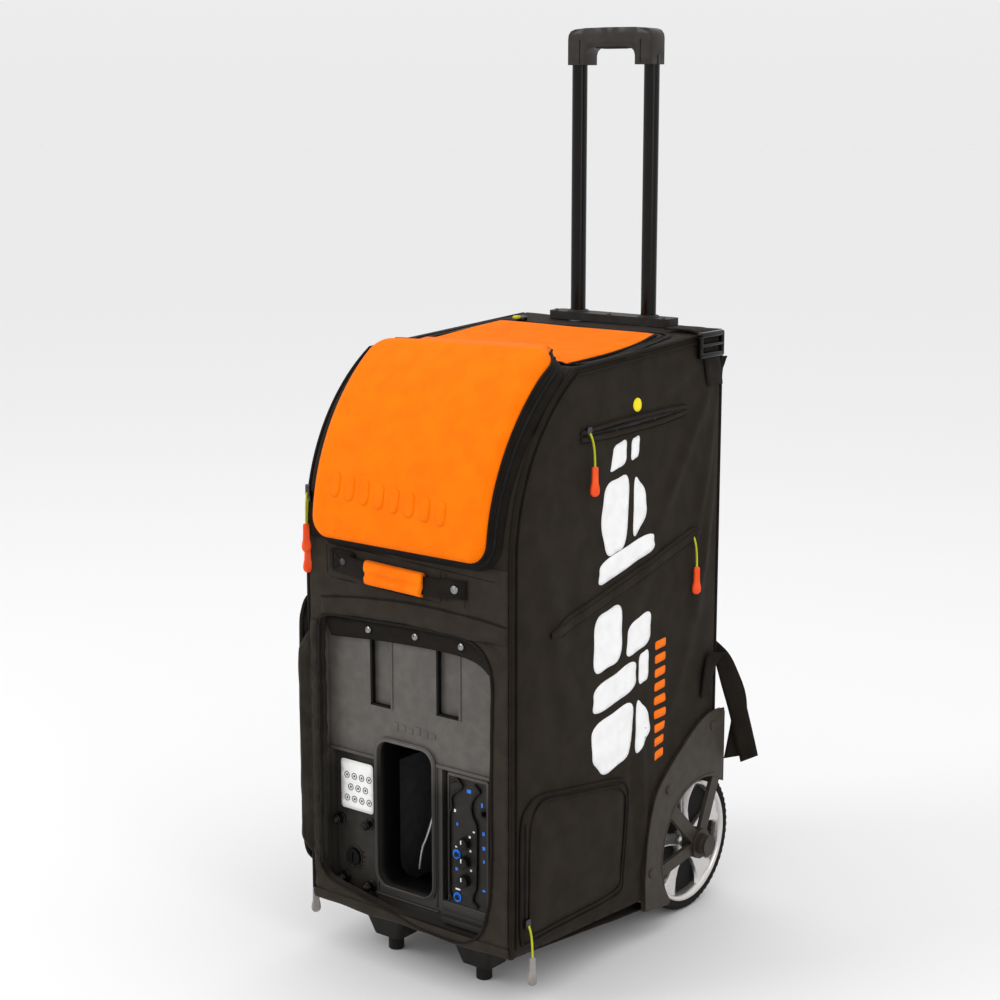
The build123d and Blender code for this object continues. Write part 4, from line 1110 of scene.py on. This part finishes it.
for name, z in (("speed_dial", 207), ("feed_dial", 181), ("angle_dial", 155)):
    cap = lathe(f"{name}_cap", [(0, 0), (8.9, 0), (8.9, -1.4), (7.4, -2.2), (7.0, -9.8),
                                (6.2, -10.6), (0, -10.8)], (84 * MM, PANEL_FRONT - 0.2 * MM, z * MM), "Y", 22)
    finish_piece(smooth_by_angle(cap), "knob", body=name)
    pointer = block(f"{name}_pointer", (83.2 * MM, PANEL_FRONT - 11.5 * MM, (z + 1) * MM),
                    (84.8 * MM, PANEL_FRONT - 10.2 * MM, (z + 6.5) * MM), 0.3 * MM, 1)
    finish_piece(pointer, "print_white", body=name)
for name, (x, z) in (("start_key", (69, 188)), ("power_key", (70, 128))):
    halo = lathe(f"{name}_halo", [(4.4, -0.3), (6.6, -0.3), (6.6, -1.6), (5.8, -2.2),
                                  (4.6, -1.8), (4.4, -0.3)], (x * MM, PANEL_FRONT, z * MM), "Y", 32)
    finish_piece(halo, "blue")
    finish_piece(lathe(f"{name}_cap", [(0, 0), (3.6, 0), (3.6, -3.2), (2.8, -3.8), (0, -3.9)],
                       (x * MM, PANEL_FRONT - 0.2 * MM, z * MM), "Y", 24), "knob", body=name)
socket = lathe("socket_collar", [(4.2, 1), (7.5, 1), (7.5, -1.2), (6.4, -2.0), (4.4, -1.4),
                                 (4.2, 1)], (116 * MM, PANEL_FRONT, 254 * MM), "Y", 28)
finish_piece(socket, "knob")
ROD = ((6, -195, 257), (-6, -195, 218), (-21, -195, 174), (-29, -196, 160), (-33, -196, 129))
prod = tube_along("tunnel_rod", [Vector(p) * MM for p in ROD], 2.2 * MM)
finish_piece(to_mesh(prod), "aluminium")

# ---------------------------------------------------------------- wheels
RIM_X = corner("rim_right", True).x


def tyre_piece(side, label):
    width = (TYRE_HIGH.x - TYRE_LOW.x) / 2
    middle = (TYRE_HIGH.x + TYRE_LOW.x) / 2
    section = [(-0.82, -13.0), (-0.98, -10), (-1.0, -5), (-0.92, -2.2), (-0.72, -0.7), (-0.34, 0), (0, 0.0),
               (0.34, 0), (0.72, -0.7), (0.92, -2.2), (1.0, -5), (0.98, -10), (0.82, -13.0)]
    count = 240
    verts = []
    for k in range(count):
        angle = 2 * math.pi * k / count
        groove = k % 4 in (0, 1)
        for across, depth in section:
            low = 1.3 if groove and depth > -3 else 0.0
            r = WHEEL_R + (depth - low) * MM
            verts.append((side * (middle + across * width), WHEEL_Y + r * math.cos(angle),
                          WHEEL_R + r * math.sin(angle)))
    faces = quads(count, len(section), loop=True)
    return smooth_by_angle(clean(raw_mesh(f"tyre_tread_{label}", verts, faces)), 40)


def rim_piece(side, label):
    """Rolled rim lip, five broad curved spokes and the hub."""
    centre = (RIM_X, WHEEL_Y, WHEEL_R)
    lip = [(90.6, -22), (90.6, -1.5), (89.2, 0.2), (86.4, 0.4), (84.2, -1.2), (82.4, -4.8), (81.2, -9), (80.8, -14),
           (81.0, -20), (83, -22), (90.6, -22)]
    hub = [(0, 0), (17, 0), (21, -2), (23.5, -6), (24, -19), (0, -19)]
    made = [lathe("lip", lip, centre, "X", 96), lathe("hub", hub, centre, "X", 64)]
    for k in range(5):
        turn = Matrix.Rotation(math.radians(72 * k + 18), 4, "X")
        rows = []
        for r, half, face, swing in ((17, 11, -3.5, 0), (30, 9.5, -6.5, 1.2), (45, 9.5, -7.5, 2.6),
                                     (60, 12.0, -6.8, 3.0), (72, 17, -5.2, 2.2), (80, 23, -3.8, 0.8),
                                     (84, 26, -3.2, 0)):
            ring = []
            for u, dip in ((-1.0, -5.0), (-0.86, -1.2), (-0.5, 0), (0, -1.4), (0.5, 0), (0.86, -1.2), (1.0, -5.0),
                           (0.8, -12), (0, -13), (-0.8, -12)):
                angle = (half * u + swing) / r
                ring.append(Vector(((face + dip) * MM, r * MM * math.cos(angle), r * MM * math.sin(angle))))
            rows.append(ring)
        n = len(rows[0])
        verts = [turn @ v + Vector(centre) for ring in rows for v in ring]
        faces = quads(len(rows), n) + [tuple(range(n)), tuple(range((len(rows) - 1) * n, len(rows) * n))]
        made.append(clean(raw_mesh("spoke", verts, faces)))
    # Near-black disc behind the spokes: painted shade that darkens the gaps between them.
    shade_disc = lathe(f"rim_web_{label}", [(22, -14.5), (81, -14.5), (81, -17), (22, -17), (22, -14.5)], centre, "X", 72)
    if side < 0:
        mirror(shade_disc)
    finish_piece(shade_disc, "painted_shade_black", body=f"wheel_{label}", smooth=False)
    obj = join(f"rim_cast_{label}", made)
    if side < 0:
        mirror(obj)
    return smooth_by_angle(obj, 42)


for side, label in ((1, "right"), (-1, "left")):
    finish_piece(tyre_piece(side, label), "tyre", [f"tyre_{label}"], body=f"wheel_{label}", smooth=False)
    finish_piece(rim_piece(side, label), "silver", [f"rim_{label}"], body=f"wheel_{label}", smooth=False)

GUARD = [(38, 60), (38, 102), (46, 165), (63, 210), (90, 237), (139, 271), (176, 291), (202, 297), (234, 295)]
GUARD_IN = [(84, 70), (78, 104), (86, 142), (106, 176), (136, 198), (178, 206), (212, 203)]
GUARD_HIGH_X = corner("wheel_guard_right", True).x
guard_x = GUARD_HIGH_X - 16 * MM
for side, label in ((1, "right"), (-1, "left")):
    trims = []
    for points, r in ((GUARD, 1.8), (GUARD_IN, 1.6)):
        path = smooth_loop(points, 8, False)
        trims.append(rope("trim", [(side * (guard_x - 0.6 * MM), y, z) for y, z in path], r * MM))
    for y, z in ((205, 277), (92, 210), (52, 98)):
        centre = Vector((guard_x + 0.4 * MM, y * MM, z * MM))
        cup = lathe("cup", [(2.2, 0.2), (2.4, 1.4), (5.2, 1.8), (6.6, 1.2), (7.4, -0.6),
                            (2.2, -0.6), (2.2, 0.2)], centre, "X", 28)
        if side < 0:
            mirror(cup)
        trims.append(cup)
    cap = lathe("cap", [(0, 2.2), (10, 2.0), (13.5, 0.8), (15.2, -2.5), (15.6, -6), (0, -6)],
                (GUARD_HIGH_X - 2.3 * MM, WHEEL_Y, WHEEL_R), "X", 48)
    if side < 0:
        mirror(cap)
    trims.append(cap)
    finish_piece(smooth_by_angle(join(f"guard_trim_{label}", trims), 40), "guard", smooth=False)

# ---------------------------------------------------------------- handle
GRIP_LOW, GRIP_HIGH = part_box("handle_grip")
half, z0, z1 = GRIP_HIGH.x / MM - 8.5, GRIP_LOW.z / MM, GRIP_HIGH.z / MM
right = [(0, z1 + 1.5), (half - 30, z1 + 1.0), (half - 12, z1 - 0.6), (half - 5, z1 - 3), (half - 1, z1 - 8),
         (half, z1 - 14), (half, z0), (43, z0), (43, z0 + 13), (41, z0 + 19), (36, z0 + 23), (29, z0 + 24.5),
         (0, z0 + 24.5)]
outline = [(x * MM, z * MM) for x, z in right + [(-x, z) for x, z in right[-2:0:-1]]]
grip = cloth("grip_shell", outline, lambda x, z: Vector((x, GRIP_LOW.y, z)), (0, -1, 0), 12 * MM, (),
             GRIP_HIGH.y - GRIP_LOW.y)
bevel = grip.modifiers.new("bevel", "BEVEL")
bevel.width, bevel.segments, bevel.limit_method, bevel.angle_limit = 4 * MM, 3, "ANGLE", math.radians(40)
finish_piece(grip, "grip", ["handle_grip"], body="trolley_handle")
seams = [rope("seam", [(x, GRIP_LOW.y - 0.1 * MM, GRIP_LOW.z + 2 * MM),
                       (x, GRIP_LOW.y - 0.1 * MM, GRIP_HIGH.z - 15 * MM)], 0.8 * MM) for x in (-0.052, 0.052)]
under = block("under", (-0.028, GRIP_LOW.y + 3 * MM, GRIP_LOW.z + 22.5 * MM),
              (0.028, GRIP_HIGH.y - 3 * MM, GRIP_LOW.z + 28.5 * MM), 2.4 * MM)
finish_piece(join("grip_details", [*seams, under]), "rubber", body="trolley_handle")
HOUSE_LOW, HOUSE_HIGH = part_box("handle_housing")
for k, x in enumerate((-0.094, 0.0, 0.094)):
    snap(f"housing_screw_{k}", (x, HOUSE_LOW.y + 8 * MM, HOUSE_HIGH.z), (0, 0, 1), 3.2, "zinc")
collars = [lathe("collar", [(11.6, -1), (11.6, 3.0), (14.0, 2.6), (16.5, 0.8), (17, -1), (11.6, -1)],
                 (x, TUBE_Y, HOUSE_HIGH.z), "Z", 40) for x in (-TUBE_X, TUBE_X)]
finish_piece(smooth_by_angle(join("handle_collars", collars)), "housing")

# ---------------------------------------------------------------- folding flap
FLAP_LOW, FLAP_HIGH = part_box("front_flap")
FLAP_MID_X = (FLAP_LOW.x + FLAP_HIGH.x) / 2 + 4 * MM
FLAP_LOOP = [(-259, 160), (-259, 300), (-259, 440), (-255, 482), (-236, 503), (-180, 506), (-60, 498), (10, 482),
             (40, 452), (47, 380), (47, 200), (42, 130), (20, 102), (-60, 97), (-170, 99), (-215, 106), (-243, 122)]
FLAP_FOLDS = [(-240, 470, -60, 300, 16, 1.6), (-250, 110, -40, 260, 16, 1.6), (30, 460, -60, 330, 14, 1.5),
              (-230, 330, -150, 120, 12, 1.4), (30, 140, -50, 260, 12, 1.4)]


def flap_x(y, z, face):
    gap = min(y + 0.260, 0.048 - y, z - 0.096, 0.505 - z)
    swell = ease(gap / 0.03)
    wave = 0.9 * soft(y, z, 0.05, 21.0 + face) * MM + folds(y, z, FLAP_FOLDS)
    return FLAP_MID_X + face * (1.6 * MM + swell * (2.2 * MM + wave * 0.6))


flap_loop = smooth_loop(FLAP_LOOP)
sheets = [cloth(f"flap_{face}", flap_loop, lambda y, z: Vector((flap_x(y, z, face), y, z)), (face, 0, 0), 9 * MM, (),
                0) for face in (1, -1)]
flap = clean(join("flap_pad", sheets))
with editing(flap) as bm:
    bmesh.ops.bridge_loops(bm, edges=[e for e in bm.edges if e.is_boundary])
finish_piece(clean(flap), "lining", ["front_flap"], body="folding_flap")
edge = [Vector((FLAP_MID_X - 0.5 * MM, y, z)) for y, z in divide(flap_loop, 6 * MM)]
finish_piece(rope("flap_binding", edge, 3.3 * MM, True), "piping", body="folding_flap")
inner_edge = [p + (Vector((p.x, -0.11, 0.29)) - p).normalized() * 8 * MM + Vector((4.6 * MM, 0, 0)) for p in edge]
finish_piece(teeth("flap_zip_teeth", inner_edge, [Vector((1, 0, 0))] * len(inner_edge), closed=True), "zip_teeth",
             body="folding_flap", smooth=False)

FOLD_PATH = [(-153, -252), (-158, -260), (-165, -260.5), (-171, -262), (-177, -266), (-183, -268), (-188, -266),
             (-190, -260), (-189, -252)]
FOLD_LINE = smooth_loop(FOLD_PATH, 4, False)


def fold_point(u, z):
    x, y = FOLD_LINE[u]
    wide = math.sin(math.pi * u / (len(FOLD_LINE) - 1))
    wave = (3.0 * soft(u * 2.2, z * 26, 1.6, 30.0) + 1.4 * soft(u, z * 60, 2.0, 33.0)) * MM * wide
    cut = min(ease((z - 0.425) / 0.06) + ease((0.165 - z) / 0.05), 1)
    x, y = x + (-0.158 - x) * 0.75 * cut, y + (-0.250 - y) * 0.9 * cut
    return Vector((x - wave * 0.35, y - abs(wave) * 0.8 + 1.2 * MM, z))


fold = grid("flap_hinge_cloth", fold_point, range(len(FOLD_LINE)), steps(0.118, 0.484, 90))
finish_piece(solidify(fold, 1.6 * MM, 0.0), "lining", body=None)
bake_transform(fold)
zip_edge = [Vector((-0.1540 + 0.6 * MM * math.sin(z * 60), FRONT_Y - 4.4 * MM, z)) for z in steps(0.13, 0.470, 60)]
finish_piece(teeth("opening_zip_teeth", zip_edge, [Vector((0, -1, 0))] * 60), "zip_teeth", smooth=False)
finish_piece(pull_tab("corner_tag", -0.1765, FRONT_Y + 5 * MM, 0.086), "grey_pull")

# ---------------------------------------------------------------- strap over the front
STRAP_Y = FRONT_Y - 4.2 * MM
run = [(-0.128, STRAP_Y, 0.566), (-0.112, STRAP_Y - 0.8 * MM, 0.5645), (-0.088, STRAP_Y - 2.5 * MM, 0.561),
       (-0.060, STRAP_Y - 5 * MM, 0.558), (-0.022, STRAP_Y - 6 * MM, 0.5555), (0.020, STRAP_Y - 5 * MM, 0.5545),
       (0.052, STRAP_Y - 3 * MM, 0.554), (0.078, STRAP_Y - 0.8 * MM, 0.5555), (0.106, STRAP_Y, 0.557)]
finish_piece(ribbon("strap_webbing", run, Vector((0, 0, 12.5 * MM)), 2.2 * MM), "webbing", ["grab_strap"])


def wrap_point(u, v):
    """Padded sleeve: two rolls one above the other, with a sewn crease between them."""
    angle = 2 * math.pi * v
    x = -0.060 + 0.097 * u
    mid_z = 0.5575 - 0.003 * u
    up, out = math.cos(angle), math.sin(angle)
    high = 16 * MM * (1 + 0.03 * soft(u * 3, v * 4, 1.0, 40.0))
    z = mid_z + math.copysign(abs(up) ** 0.8, up) * high
    crease = 4.2 * MM * math.exp(-((z - mid_z + 1.5 * MM) / (3.4 * MM)) ** 2)
    depth = 9.2 * MM * max(out, 0) ** 0.55 - (crease if out > 0 else 0)
    if u > 0.9:
        x += 2.5 * MM * math.sin((z - mid_z) / (16 * MM) * 2.9) * (u - 0.9) / 0.1
    pinch = 1 - 0.22 * math.exp(-((1 - u) / 0.02) ** 2) - 0.15 * math.exp(-(u / 0.03) ** 2)
    return Vector((x, STRAP_Y - 3.6 * MM - depth * pinch + (2.0 * MM if out < 0 else 0), z))


n, around = 42, 48
wrap = grid("strap_sleeve", wrap_point, steps(0, 1, n), steps(0, 1, around + 1)[:-1])
with editing(wrap) as bm:
    bm.verts.ensure_lookup_table()
    for i in range(n - 1):
        last = (around - 1) * n + i
        bm.faces.new([bm.verts[k] for k in (last, last + 1, i + 1, i)])
    for end in (0, n - 1):
        bm.faces.new([bm.verts[k * n + end] for k in range(around)])
    bmesh.ops.recalc_face_normals(bm, faces=bm.faces)
finish_piece(wrap, "orange_wrap", ["strap_wrap"])
outline = [(-0.124, 0.550), (-0.086, 0.548), (-0.086, 0.579), (-0.124, 0.581)]
patch = cloth("strap_patch", outline, lambda x, z: Vector((x, STRAP_Y - 1.8 * MM, z)), (0, -1, 0), 8 * MM, (),
              1.6 * MM)
finish_piece(patch, "webbing")
STITCHES = [(-122, 552, -88, 577), (-122, 579, -88, 550), (-122, 552, -122, 579), (-88, 550, -88, 577),
            (-134, 546, -134, 584), (64, 536, 64, 576), (74, 538, 74, 574), (-132, 540, 62, 533),
            (-134, 586, 150, 574), (104, 534, 108, 572)]
seams = []
for x0, z0, x1, z1 in STITCHES:
    back = 3.2 * MM if abs(x1 - x0) > 100 else 0  # the long rows lie on the bag, not on the strap
    row = [(x0 + (x1 - x0) * t, z0 + (z1 - z0) * t) for t in steps(0, 1, 12)]
    row = [(x * MM, STRAP_Y - (2.6 if -125 < x < -80 else 1.3) * MM + back, z * MM) for x, z in row]
    seams.append(rope("seam", row, 0.5 * MM, False, 6))
finish_piece(join("strap_stitches", seams), "zip_tape")
snap("strap_snap_dark", (-0.104, STRAP_Y - 2.2 * MM, 0.565), (0, -1, 0), 5.0, "zinc")
snap("strap_snap_bright", (0.088, STRAP_Y - 1.8 * MM, 0.556), (0, -1, 0), 6.0, "snap")

# ---------------------------------------------------------------- corner strap, buckle and hanging webbing
loop_pts = [(0.120, 0.176, top_z(0.176) + 5 * MM), (0.146, 0.176, top_z(0.176) + 6 * MM),
            (0.166, 0.177, top_z(0.177) + 5 * MM), (0.1775, 0.178, 0.8475), (0.1810, 0.180, 0.838),
            (0.1818, 0.184, 0.815), (0.1815, 0.190, 0.795), (0.1800, 0.196, 0.775)]
finish_piece(ribbon("corner_strap", smooth_path(loop_pts), Vector((0, 20 * MM, 0)), 2.2 * MM), "webbing_side")
bars_made = []
for z0, z1 in ((0.8440, 0.8520), (0.8310, 0.8365), (0.8160, 0.8240)):
    bars_made.append(block("bar", (0.1795, 0.149, z0), (0.1875, 0.209, z1), 2.6 * MM))
for y in (0.149, 0.203):
    bars_made.append(block("bar", (0.1795, y, 0.8165), (0.1875, y + 6 * MM, 0.8515), 2.6 * MM))
finish_piece(join("tri_glide", bars_made), "gloss", ["rear_buckle"])
webbing_run = [(0.172, REAR_Y + 1.2 * MM, 0.812), (0.164, REAR_Y + 3.4 * MM, 0.795),
               (0.158, REAR_Y + 3.2 * MM, 0.740), (0.155, REAR_Y + 3.0 * MM, 0.640),
               (0.154, REAR_Y + 3.4 * MM, 0.520), (0.153, REAR_Y + 3.0 * MM, 0.430),
               (0.153, REAR_Y + 2.6 * MM, 0.396)]
smooth_run = [Vector(webbing_run[0])]
smooth_run += [Vector(p).lerp(Vector(q), t) for p, q in zip(webbing_run, webbing_run[1:])
               for t in (0.25, 0.5, 0.75, 1.0)]
halves = [Vector((6 * MM, 8 * MM, 0)) if p.z > 0.806 else Vector((10.5 * MM, 0.5 * MM, 0)) for p in smooth_run]
strap_down = ribbon("rear_webbing", smooth_run, halves, 1.8 * MM)
tail_run = [(0.1820, 0.186, 0.326), (0.1835, 0.189, 0.350), (0.1855, 0.193, 0.371), (0.1875, 0.200, 0.384),
            (0.1890, 0.210, 0.384), (0.1910, 0.221, 0.368), (0.1945, 0.233, 0.337), (0.1990, 0.246, 0.298),
            (0.2035, 0.258, 0.256), (0.2080, 0.269, 0.214)]
lean = [Vector((0, 12, 1.5)) * MM, Vector((0, 12.5, -2)) * MM, Vector((1.5, 12.0, -3)) * MM, Vector((4, 10, -5)) * MM,
        Vector((7, 9, 1)) * MM, Vector((9.4, 7.6, 4)) * MM] + [Vector((10.2, 8.2, 5.2)) * MM] * 4
tail = ribbon("hanging_webbing", smooth_path(tail_run), smooth_path(lean), 1.7 * MM)
tail_length = path_length(smooth_path(tail_run))
finish_piece(join("rear_webbing", [strap_down]), "webbing_side", ["rear_strap"])
finish_piece(tail, "webbing_side")
short_run = [(0.160, REAR_Y + 4.5 * MM, 0.392), (0.176, REAR_Y + 12 * MM, 0.376), (0.183, REAR_Y + 30 * MM, 0.343),
             (0.188, REAR_Y + 43 * MM, 0.310), (0.190, REAR_Y + 45 * MM, 0.277), (0.189, REAR_Y + 38 * MM, 0.245),
             (0.187, REAR_Y + 32 * MM, 0.216)]
short_lean = [Vector((2, 3, 10)) * MM] + [Vector((9.2, 7.4, 2.0)) * MM] * (len(short_run) - 1)
short = ribbon("hanging_webbing_under", smooth_path(short_run), smooth_path(short_lean), 1.7 * MM)
short_length = path_length(smooth_path(short_run))
finish_piece(short, "webbing_side")

# ---------------------------------------------------------------- pockets on the right side


def side_run(points, lift):
    return [side_pt(y, z, lift) for y, z in smooth_loop(points, 6, False)]


def side_patch(name, loop, look, lift, spacing=6 * MM, thick=0.6 * MM, replaces=(), bulge=None):
    def place(y, z):
        return side_pt(y, z, lift + (bulge(y, z) if bulge else 0))
    return finish_piece(cloth(name, loop, place, (1, 0, 0), spacing, (), thick), look, replaces)


slit = [(-114, 744.5), (-60, 747), (0, 749.5), (60, 751), (118, 750), (122, 747.5), (60, 744.5), (0, 742.5),
        (-60, 741), (-114, 741.5)]
side_patch("upper_slit", smooth_loop(slit, 4), "fascia_dark", 0.3 * MM, 4 * MM, 0.3 * MM)
upper_edge = [(-120, 747), (-60, 750.5), (0, 753), (60, 754), (112, 753), (128, 750)]
lower_edge = [(-120, 739), (-60, 737), (0, 738.5), (60, 740.5), (112, 744.5), (128, 748)]
welts = [rope("welt", side_run(line, 1.2 * MM), r * MM) for line, r in ((upper_edge, 2.7), (lower_edge, 3.2))]
welts += [rope("seam", side_run([(y, z + d) for y, z in line], 0.5 * MM), 0.6 * MM, False, 6)
          for line, d in ((upper_edge, 5.5), (lower_edge, -6))]
finish_piece(join("upper_pocket_welts", welts), "nylon_side", ["upper_pocket"])
slit_teeth = side_run([(-112, 743.5), (-50, 745), (0, 748.5), (60, 749.5), (116, 749.5)], 0.7 * MM)
finish_piece(teeth("upper_zip_teeth", slit_teeth, [Vector((1, 0, 0))] * len(slit_teeth), across=3.6 * MM),
             "zip_teeth", smooth=False)

DIAGONAL = [(-186, 494), (-120, 506), (-40, 523), (50, 545), (120, 562), (160, 573)]
diag = [Vector((p[0], p[1], 0)) for p in smooth_loop(DIAGONAL, 10, False)]
across_steps = [(-11, 0.3), (-9, 2.6), (-5, 3.8), (0, 3.6), (4, 4.2), (8, 4.4), (10.5, 3.2), (11.5, 0.3)]
verts = []
for k, p in enumerate(diag):
    t = (diag[min(k + 1, len(diag) - 1)] - diag[max(k - 1, 0)]).normalized()
    taper = min(1, 0.35 + 0.65 * ease(k / 6)) * min(1, 0.35 + 0.65 * ease((len(diag) - 1 - k) / 5))
    for off, lift in across_steps:
        q = p + Vector((-t.y, t.x, 0)) * off * MM * taper
        verts.append(side_pt(q.x, q.y, (lift + 0.5 * soft(q.x, q.y, 0.02, 50.0)) * MM))
fold_over = clean(raw_mesh("diagonal_flap", verts, quads(len(diag), len(across_steps), ring=False)))
if sum(p.normal.x * p.area for p in fold_over.data.polygons) < 0:
    fold_over.data.flip_normals()
finish_piece(solidify(fold_over, 1.0 * MM), "nylon_side", ["diagonal_zip"])
stitches = [rope("seam", [side_pt(y, z + d * MM, lift * MM) for y, z in smooth_loop(DIAGONAL, 8, False)[3:-3]],
                 0.55 * MM, False, 6) for d, lift in ((-8, 3.2), (6, 4.6))]
finish_piece(join("diagonal_stitches", stitches), "piping")

POCKET = [(-238, 96), (-240, 170), (-238, 252), (-226, 276), (-205, 283), (-150, 276), (-60, 263), (-22, 255),
          (-5, 240), (-3, 220), (-9, 170), (-14, 118), (-20, 94), (-60, 88), (-160, 88), (-222, 88)]


def pocket_bulge(y, z):
    gap = min(y + 0.236, -0.008 - y, z - 0.092, 0.274 - (y + 0.22) * 0.12 - z)
    return (1.2 + 5.0 * ease(gap / 0.035) + 1.0 * soft(y, z, 0.04, 60.0)) * MM


side_patch("lower_pocket_cloth", smooth_loop(POCKET, 5), "nylon_side", 0.4 * MM, 7 * MM, 1.6 * MM, ["lower_pocket"],
           pocket_bulge)


def pocket_inset(y, z, inset):
    """Point of the pocket's outline moved inwards, all in millimetres."""
    toward_y = 1.9 if y < -200 else 1 if y < -120 else -1
    share_y = 0.9 if abs(y + 120) > 60 else 0.2
    outside = 1.6 if y < -235 and not inset else 0
    toward_z = 1 if z < 180 else -1
    share_z = 1 if z < 110 or z > 225 else 0.1
    return y + inset * toward_y * share_y - outside, z + inset * toward_z * share_z


pipes = []
for inset, lift, r in ((0, 1.6, 2.5), (8, 3.4, 1.8)):
    loop = [pocket_inset(y, z, inset) for y, z in POCKET]
    pipes.append(rope("pipe", [side_pt(y, z, lift * MM) for y, z in smooth_loop(loop, 6)], r * MM, True))
finish_piece(join("lower_pocket_piping", pipes), "piping")
low_teeth = [side_pt(-0.2335 + 0.5 * MM, z, 3.4 * MM) for z in steps(0.112, 0.252, 30)]
finish_piece(teeth("lower_zip_teeth", low_teeth, [Vector((1, 0, 0))] * 30, across=4.2 * MM), "zip_teeth",
             smooth=False)

# ---------------------------------------------------------------- plain printed shapes
SHAPES = [
    [(-42, 720), (-14, 727), (-16, 694), (-52, 686), (-48, 700)], [(-2, 724), (16, 728), (14, 700), (-4, 695)],
    [(-62, 672), (-8, 680), (-14, 582), (-56, 572), (-72, 620)], [(4, 676), (30, 652), (34, 616), (2, 586)],
    [(-70, 568), (46, 592), (49, 566), (-20, 548), (-76, 536)],
    [(-84, 494), (-22, 506), (-26, 428), (-86, 416)], [(-10, 470), (48, 482), (46, 436), (-12, 424)],
    [(-84, 400), (12, 420), (12, 378), (-86, 360)], [(20, 422), (44, 427), (44, 384), (20, 380)],
    [(-86, 346), (8, 364), (4, 286), (-60, 270), (-90, 300)], [(16, 362), (42, 340), (48, 306), (14, 278)],
]
prints = []
for shape in SHAPES:
    rounded = [(p[0] + (q[0] - p[0]) * t, p[1] + (q[1] - p[1]) * t)
               for p, q in zip(shape, shape[1:] + shape[:1]) for t in (0.16, 0.5, 0.84)]
    prints.append(cloth("print", smooth_loop(rounded, 3), lambda y, z: side_pt(y, z, 0.35 * MM), (1, 0, 0), 6 * MM,
                        (), 0.5 * MM))
finish_piece(join("white_print", prints), "print_white")
loops = [round_loop(0.060, 0.085, z - 6 * MM, z + 6 * MM, 3 * MM, 3) for z in steps(0.266, 0.426, 9)]
dashes = [cloth("dash", loop, lambda y, z: side_pt(y, z + (y - 0.06) * 0.1, 0.35 * MM), (1, 0, 0), 6 * MM, (),
                0.5 * MM) for loop in loops]
finish_piece(join("orange_print", dashes), "print_orange")
dot = [(0.008 + 9.2 * MM * c, 0.7695 + 9.2 * MM * s) for c, s in circle(24)]
side_patch("yellow_print", dot, "print_yellow", 0.35 * MM, 5 * MM, 0.5 * MM)

# ---------------------------------------------------------------- small zip pulls that stay still
for k, (x, y, z, drop) in enumerate(((-0.166, FRONT_Y - 6 * MM, 0.655, 46), (-0.171, FRONT_Y + 1 * MM, 0.645, 66))):
    body = block("slider", (x - 4 * MM, y - 2.5 * MM, z - 9 * MM), (x + 4 * MM, y + 2.5 * MM, z + 7 * MM), 1.9 * MM)
    finish_piece(body, "zinc")
    body.name = f"side_slider_{k}"
    pull_cord(f"side_cord_{k}", f"side_pull_{k}",
              [(x, y - 2 * MM, z - 4 * MM), (x, y - 5 * MM, z - 14 * MM), (x, y - 5 * MM, z - drop * MM)], 1.4 * MM,
              "orange_pull")
rear_slider = block("rear_zip_slider", (-0.128, 0.139, top_z(0.14) + 3 * MM), (-0.114, 0.150, top_z(0.14) + 10 * MM),
                    2 * MM)
finish_piece(rear_slider, "zinc")
rear_pull = block("rear_zip_pull", (-0.129, 0.131, top_z(0.14) + 6 * MM), (-0.119, 0.141, top_z(0.14) + 11 * MM),
                  2.2 * MM)
finish_piece(rear_pull, "cord_yellow")

# ---------------------------------------------------------------- stage: pale floor, a sky that meets it, three lights
floor = block("floor", (-60, -60, -0.02), (60, 60, 0.0))
floor.data.materials.append(Look("floor_pale", (0.915, 0.915, 0.918), 0.9, spec=0.0).mat)
world = bpy.data.worlds.new("world")
bpy.context.scene.world = world
world.use_nodes = True
backdrop = world.node_tree.nodes["Background"]
backdrop.inputs["Strength"].default_value = 1.0
sky_nodes, sky_links = world.node_tree.nodes, world.node_tree.links
LOW_SKY, HIGH_SKY = (0.83, 0.83, 0.835, 1), (1.10, 1.10, 1.10, 1)
mix = sky_nodes.new("ShaderNodeMix")
mix.data_type = "RGBA"
mix.inputs[6].default_value = LOW_SKY
mix.inputs[7].default_value = HIGH_SKY
split = sky_nodes.new("ShaderNodeSeparateXYZ")
sky_links.new(sky_nodes.new("ShaderNodeTexCoord").outputs["Generated"], split.inputs[0])
sky_links.new(split.outputs["Z"], mix.inputs[0])
sky_links.new(mix.outputs[2], backdrop.inputs["Color"])


def area_light(name, at, target, size, power):
    data = bpy.data.lights.new(name, "AREA")
    data.shape = "RECTANGLE"
    data.size, data.size_y = size
    data.energy = power
    obj = add(name, data)
    obj.location = at
    obj.rotation_euler = (Vector(target) - Vector(at)).to_track_quat("-Z", "Y").to_euler()


area_light("key", (-2.2, -3.0, 2.8), (0, 0, 0.5), (1.6, 1.6), 46)
area_light("fill", (3.4, -1.2, 1.8), (0, 0, 0.5), (1.2, 2.4), 16)
area_light("top", (0.2, 0.4, 3.6), (0, 0, 0.4), (2.4, 1.6), 14)
